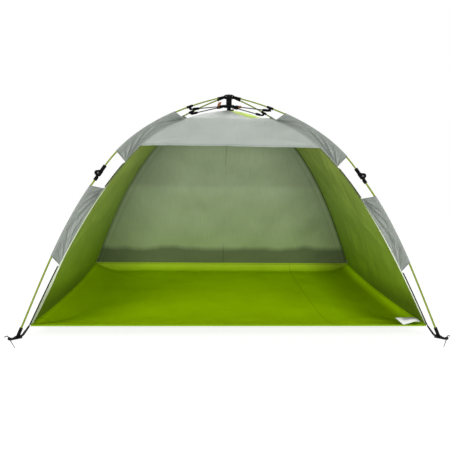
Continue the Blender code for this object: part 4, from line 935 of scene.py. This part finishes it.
for stem, (run, pole_shares, seam_shares, seed, fans) in SLEEVES.items():
    for corner, turn in CORNERS.items():
        (pole_up, pole_down), (seam_up, seam_down) = SLEEVE_SHIFT.get(f"{stem}_{corner}", STILL)
        along = np.interp(step, (0, 1), (pole_shares[0] + pole_up, pole_shares[1] + pole_down))
        pole = bezier(*run, along)
        ahead = bezier(*run, along + 0.01) - bezier(*run, along - 0.01)
        ahead /= np.linalg.norm(ahead, axis=-1, keepdims=True)
        outward = np.stack((-ahead[:, 1], ahead[:, 0]), -1)
        foot = seam(np.interp(step, (0, 1), (seam_shares[0] + seam_up, seam_shares[1] + seam_down)))
        down = foot - pole
        length = np.linalg.norm(down, axis=-1)
        down /= length[:, None]
        length = length - 0.0006
        travel = np.concatenate(([0.0], np.cumsum(np.linalg.norm(np.diff(pole, axis=0), axis=-1))))
        points = np.zeros((count, width, 3))
        q = np.zeros((count, width))
        for column in range(width):
            if len(web) <= column < len(web) + len(ring):
                angle = ring[column - len(web)]
                place = pole + outward * (radius * math.cos(angle))
                aside = radius * math.sin(angle)
            else:
                first = column < len(web)
                part = web[column] if first else web[width - 1 - column]
                place = pole + down * (radius + (length - radius) * part)[:, None]
                aside = (radius * (1 - part) ** 2 + 0.0011) * (1 if first else -1)
                q[:, column] = part
            points[:, column, 0], points[:, column, 2] = place[:, 0], place[:, 1]
            points[:, column, 1] = aside
        p = np.broadcast_to(travel[:, None], q.shape)
        wide = float(length.max())
        folds = [
            (end * travel[-1], wide, to * travel[-1], low * wide, breadth, lift)
            for end, to, low, breadth, lift in fans
        ]
        reach = q * length[:, None]
        wave = 1.5 * creased(p, reach, folds) + rippled(p, reach, seed, 0.09, 0.03, 0.0015)
        points[..., 1] += wave * np.sin(np.pi * q) ** 0.6
        steps = np.linalg.norm(np.diff(points, axis=1), axis=-1)
        across = np.concatenate((np.zeros((count, 1)), np.cumsum(steps, axis=1)), 1)
        uv = np.stack((across, p), -1)
        edge = np.stack((np.full_like(p, 0.5), np.minimum(p, travel[-1] - p)), -1)
        turned = points @ np.array(Matrix.Rotation(turn, 3, "Z")).T
        sleeve = cloth(f"{stem}_sleeve_cloth_{corner}", turned, uv, edge, 0.0005, sleeve_grey, sleeve_grey)
        soft(sleeve, f"{stem}_sleeve_{corner}")

# Care label: a blank white satin ribbon sewn to the floor's front right corner, lying curled on the
# sill.


def label_marks(tree, cut, aside, down, rim):
    """The ribbon's upper half curls away from the light."""
    upper = add(tree, "MapRange", (aside, 0.022, 0.034, 1.0, 0.0))
    off = add(tree, "Math", (down, 0.078), operation="SUBTRACT")
    off = add(tree, "Math", (off,), operation="ABSOLUTE")
    middle = add(tree, "MapRange", (off, 0.026, 0.052, 1.0, 0.0))
    both = add(tree, "Math", (upper, middle), operation="MULTIPLY")
    return add(tree, "Math", (both, -0.55, 1.0), operation="MULTIPLY_ADD")


label_white = taffeta("white_satin_label", "#f4f5f4", 0.14, 0.45, 0.01, 0.003, "#b9bcba", label_marks)
upper_rim = ((0.938, -0.702, 0.086), (0.985, -0.672, 0.066), (1.040, -0.668, 0.100), (1.084, -0.700, 0.066))
lower_rim = ((0.970, -0.749, 0.060), (0.985, -0.742, 0.056), (1.020, -0.730, 0.084), (1.080, -0.716, 0.062))
rows, columns = 15, 33
points = np.zeros((rows, columns, 3))
for row in range(rows):
    for column in range(columns):
        down, along = row / (rows - 1), column / (columns - 1)
        place = eased(upper_rim, along) * (1 - down) + eased(lower_rim, along) * down
        place[2] += 0.006 * math.sin(math.pi * down) * math.sin(math.pi * along) + 0.002 * math.sin(9 * along)
        points[row, column] = place
breadth, length = 0.048, 0.140
u, v = np.meshgrid(np.linspace(0, breadth, rows), np.linspace(0, length, columns), indexing="ij")
uv = np.stack((u, v), -1)
edge = np.stack((np.minimum(u, breadth - u), np.minimum(v, length - v)), -1)
label = soft(cloth("care_label", points, uv, edge, 0.0004, label_white, label_white))

# Pull tabs: two short ends of orange-brown webbing at the runner's front, by which the frame is
# pulled open. The left one stands up and the right one lies out to the side.
tab_webbing = webbing("orange_brown_webbing", "#7d5230", "#b47a50", 1.6)
upright = [
    (-0.0640 - 0.004 * math.sin(4 * part), -0.044 - 0.008 * math.sin(math.pi * part), 1.3050 + 0.034 * part)
    for part in (step / 14 for step in range(15))
]
lying = [
    (0.0620 + 0.018 * part, -0.044 - 0.006 * math.sin(math.pi * part), 1.3095 + 0.003 * math.sin(2 * part))
    for part in (step / 10 for step in range(11))
]
for name, line, across in (
    ("pull_tab_left", upright, (0.0105, 0.003, 0.002)),
    ("pull_tab_right", lying, (0.001, 0.004, 0.0052)),
):
    tab = tape(name, line, across, 0.0022, tab_webbing)
    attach(tab, "runner")
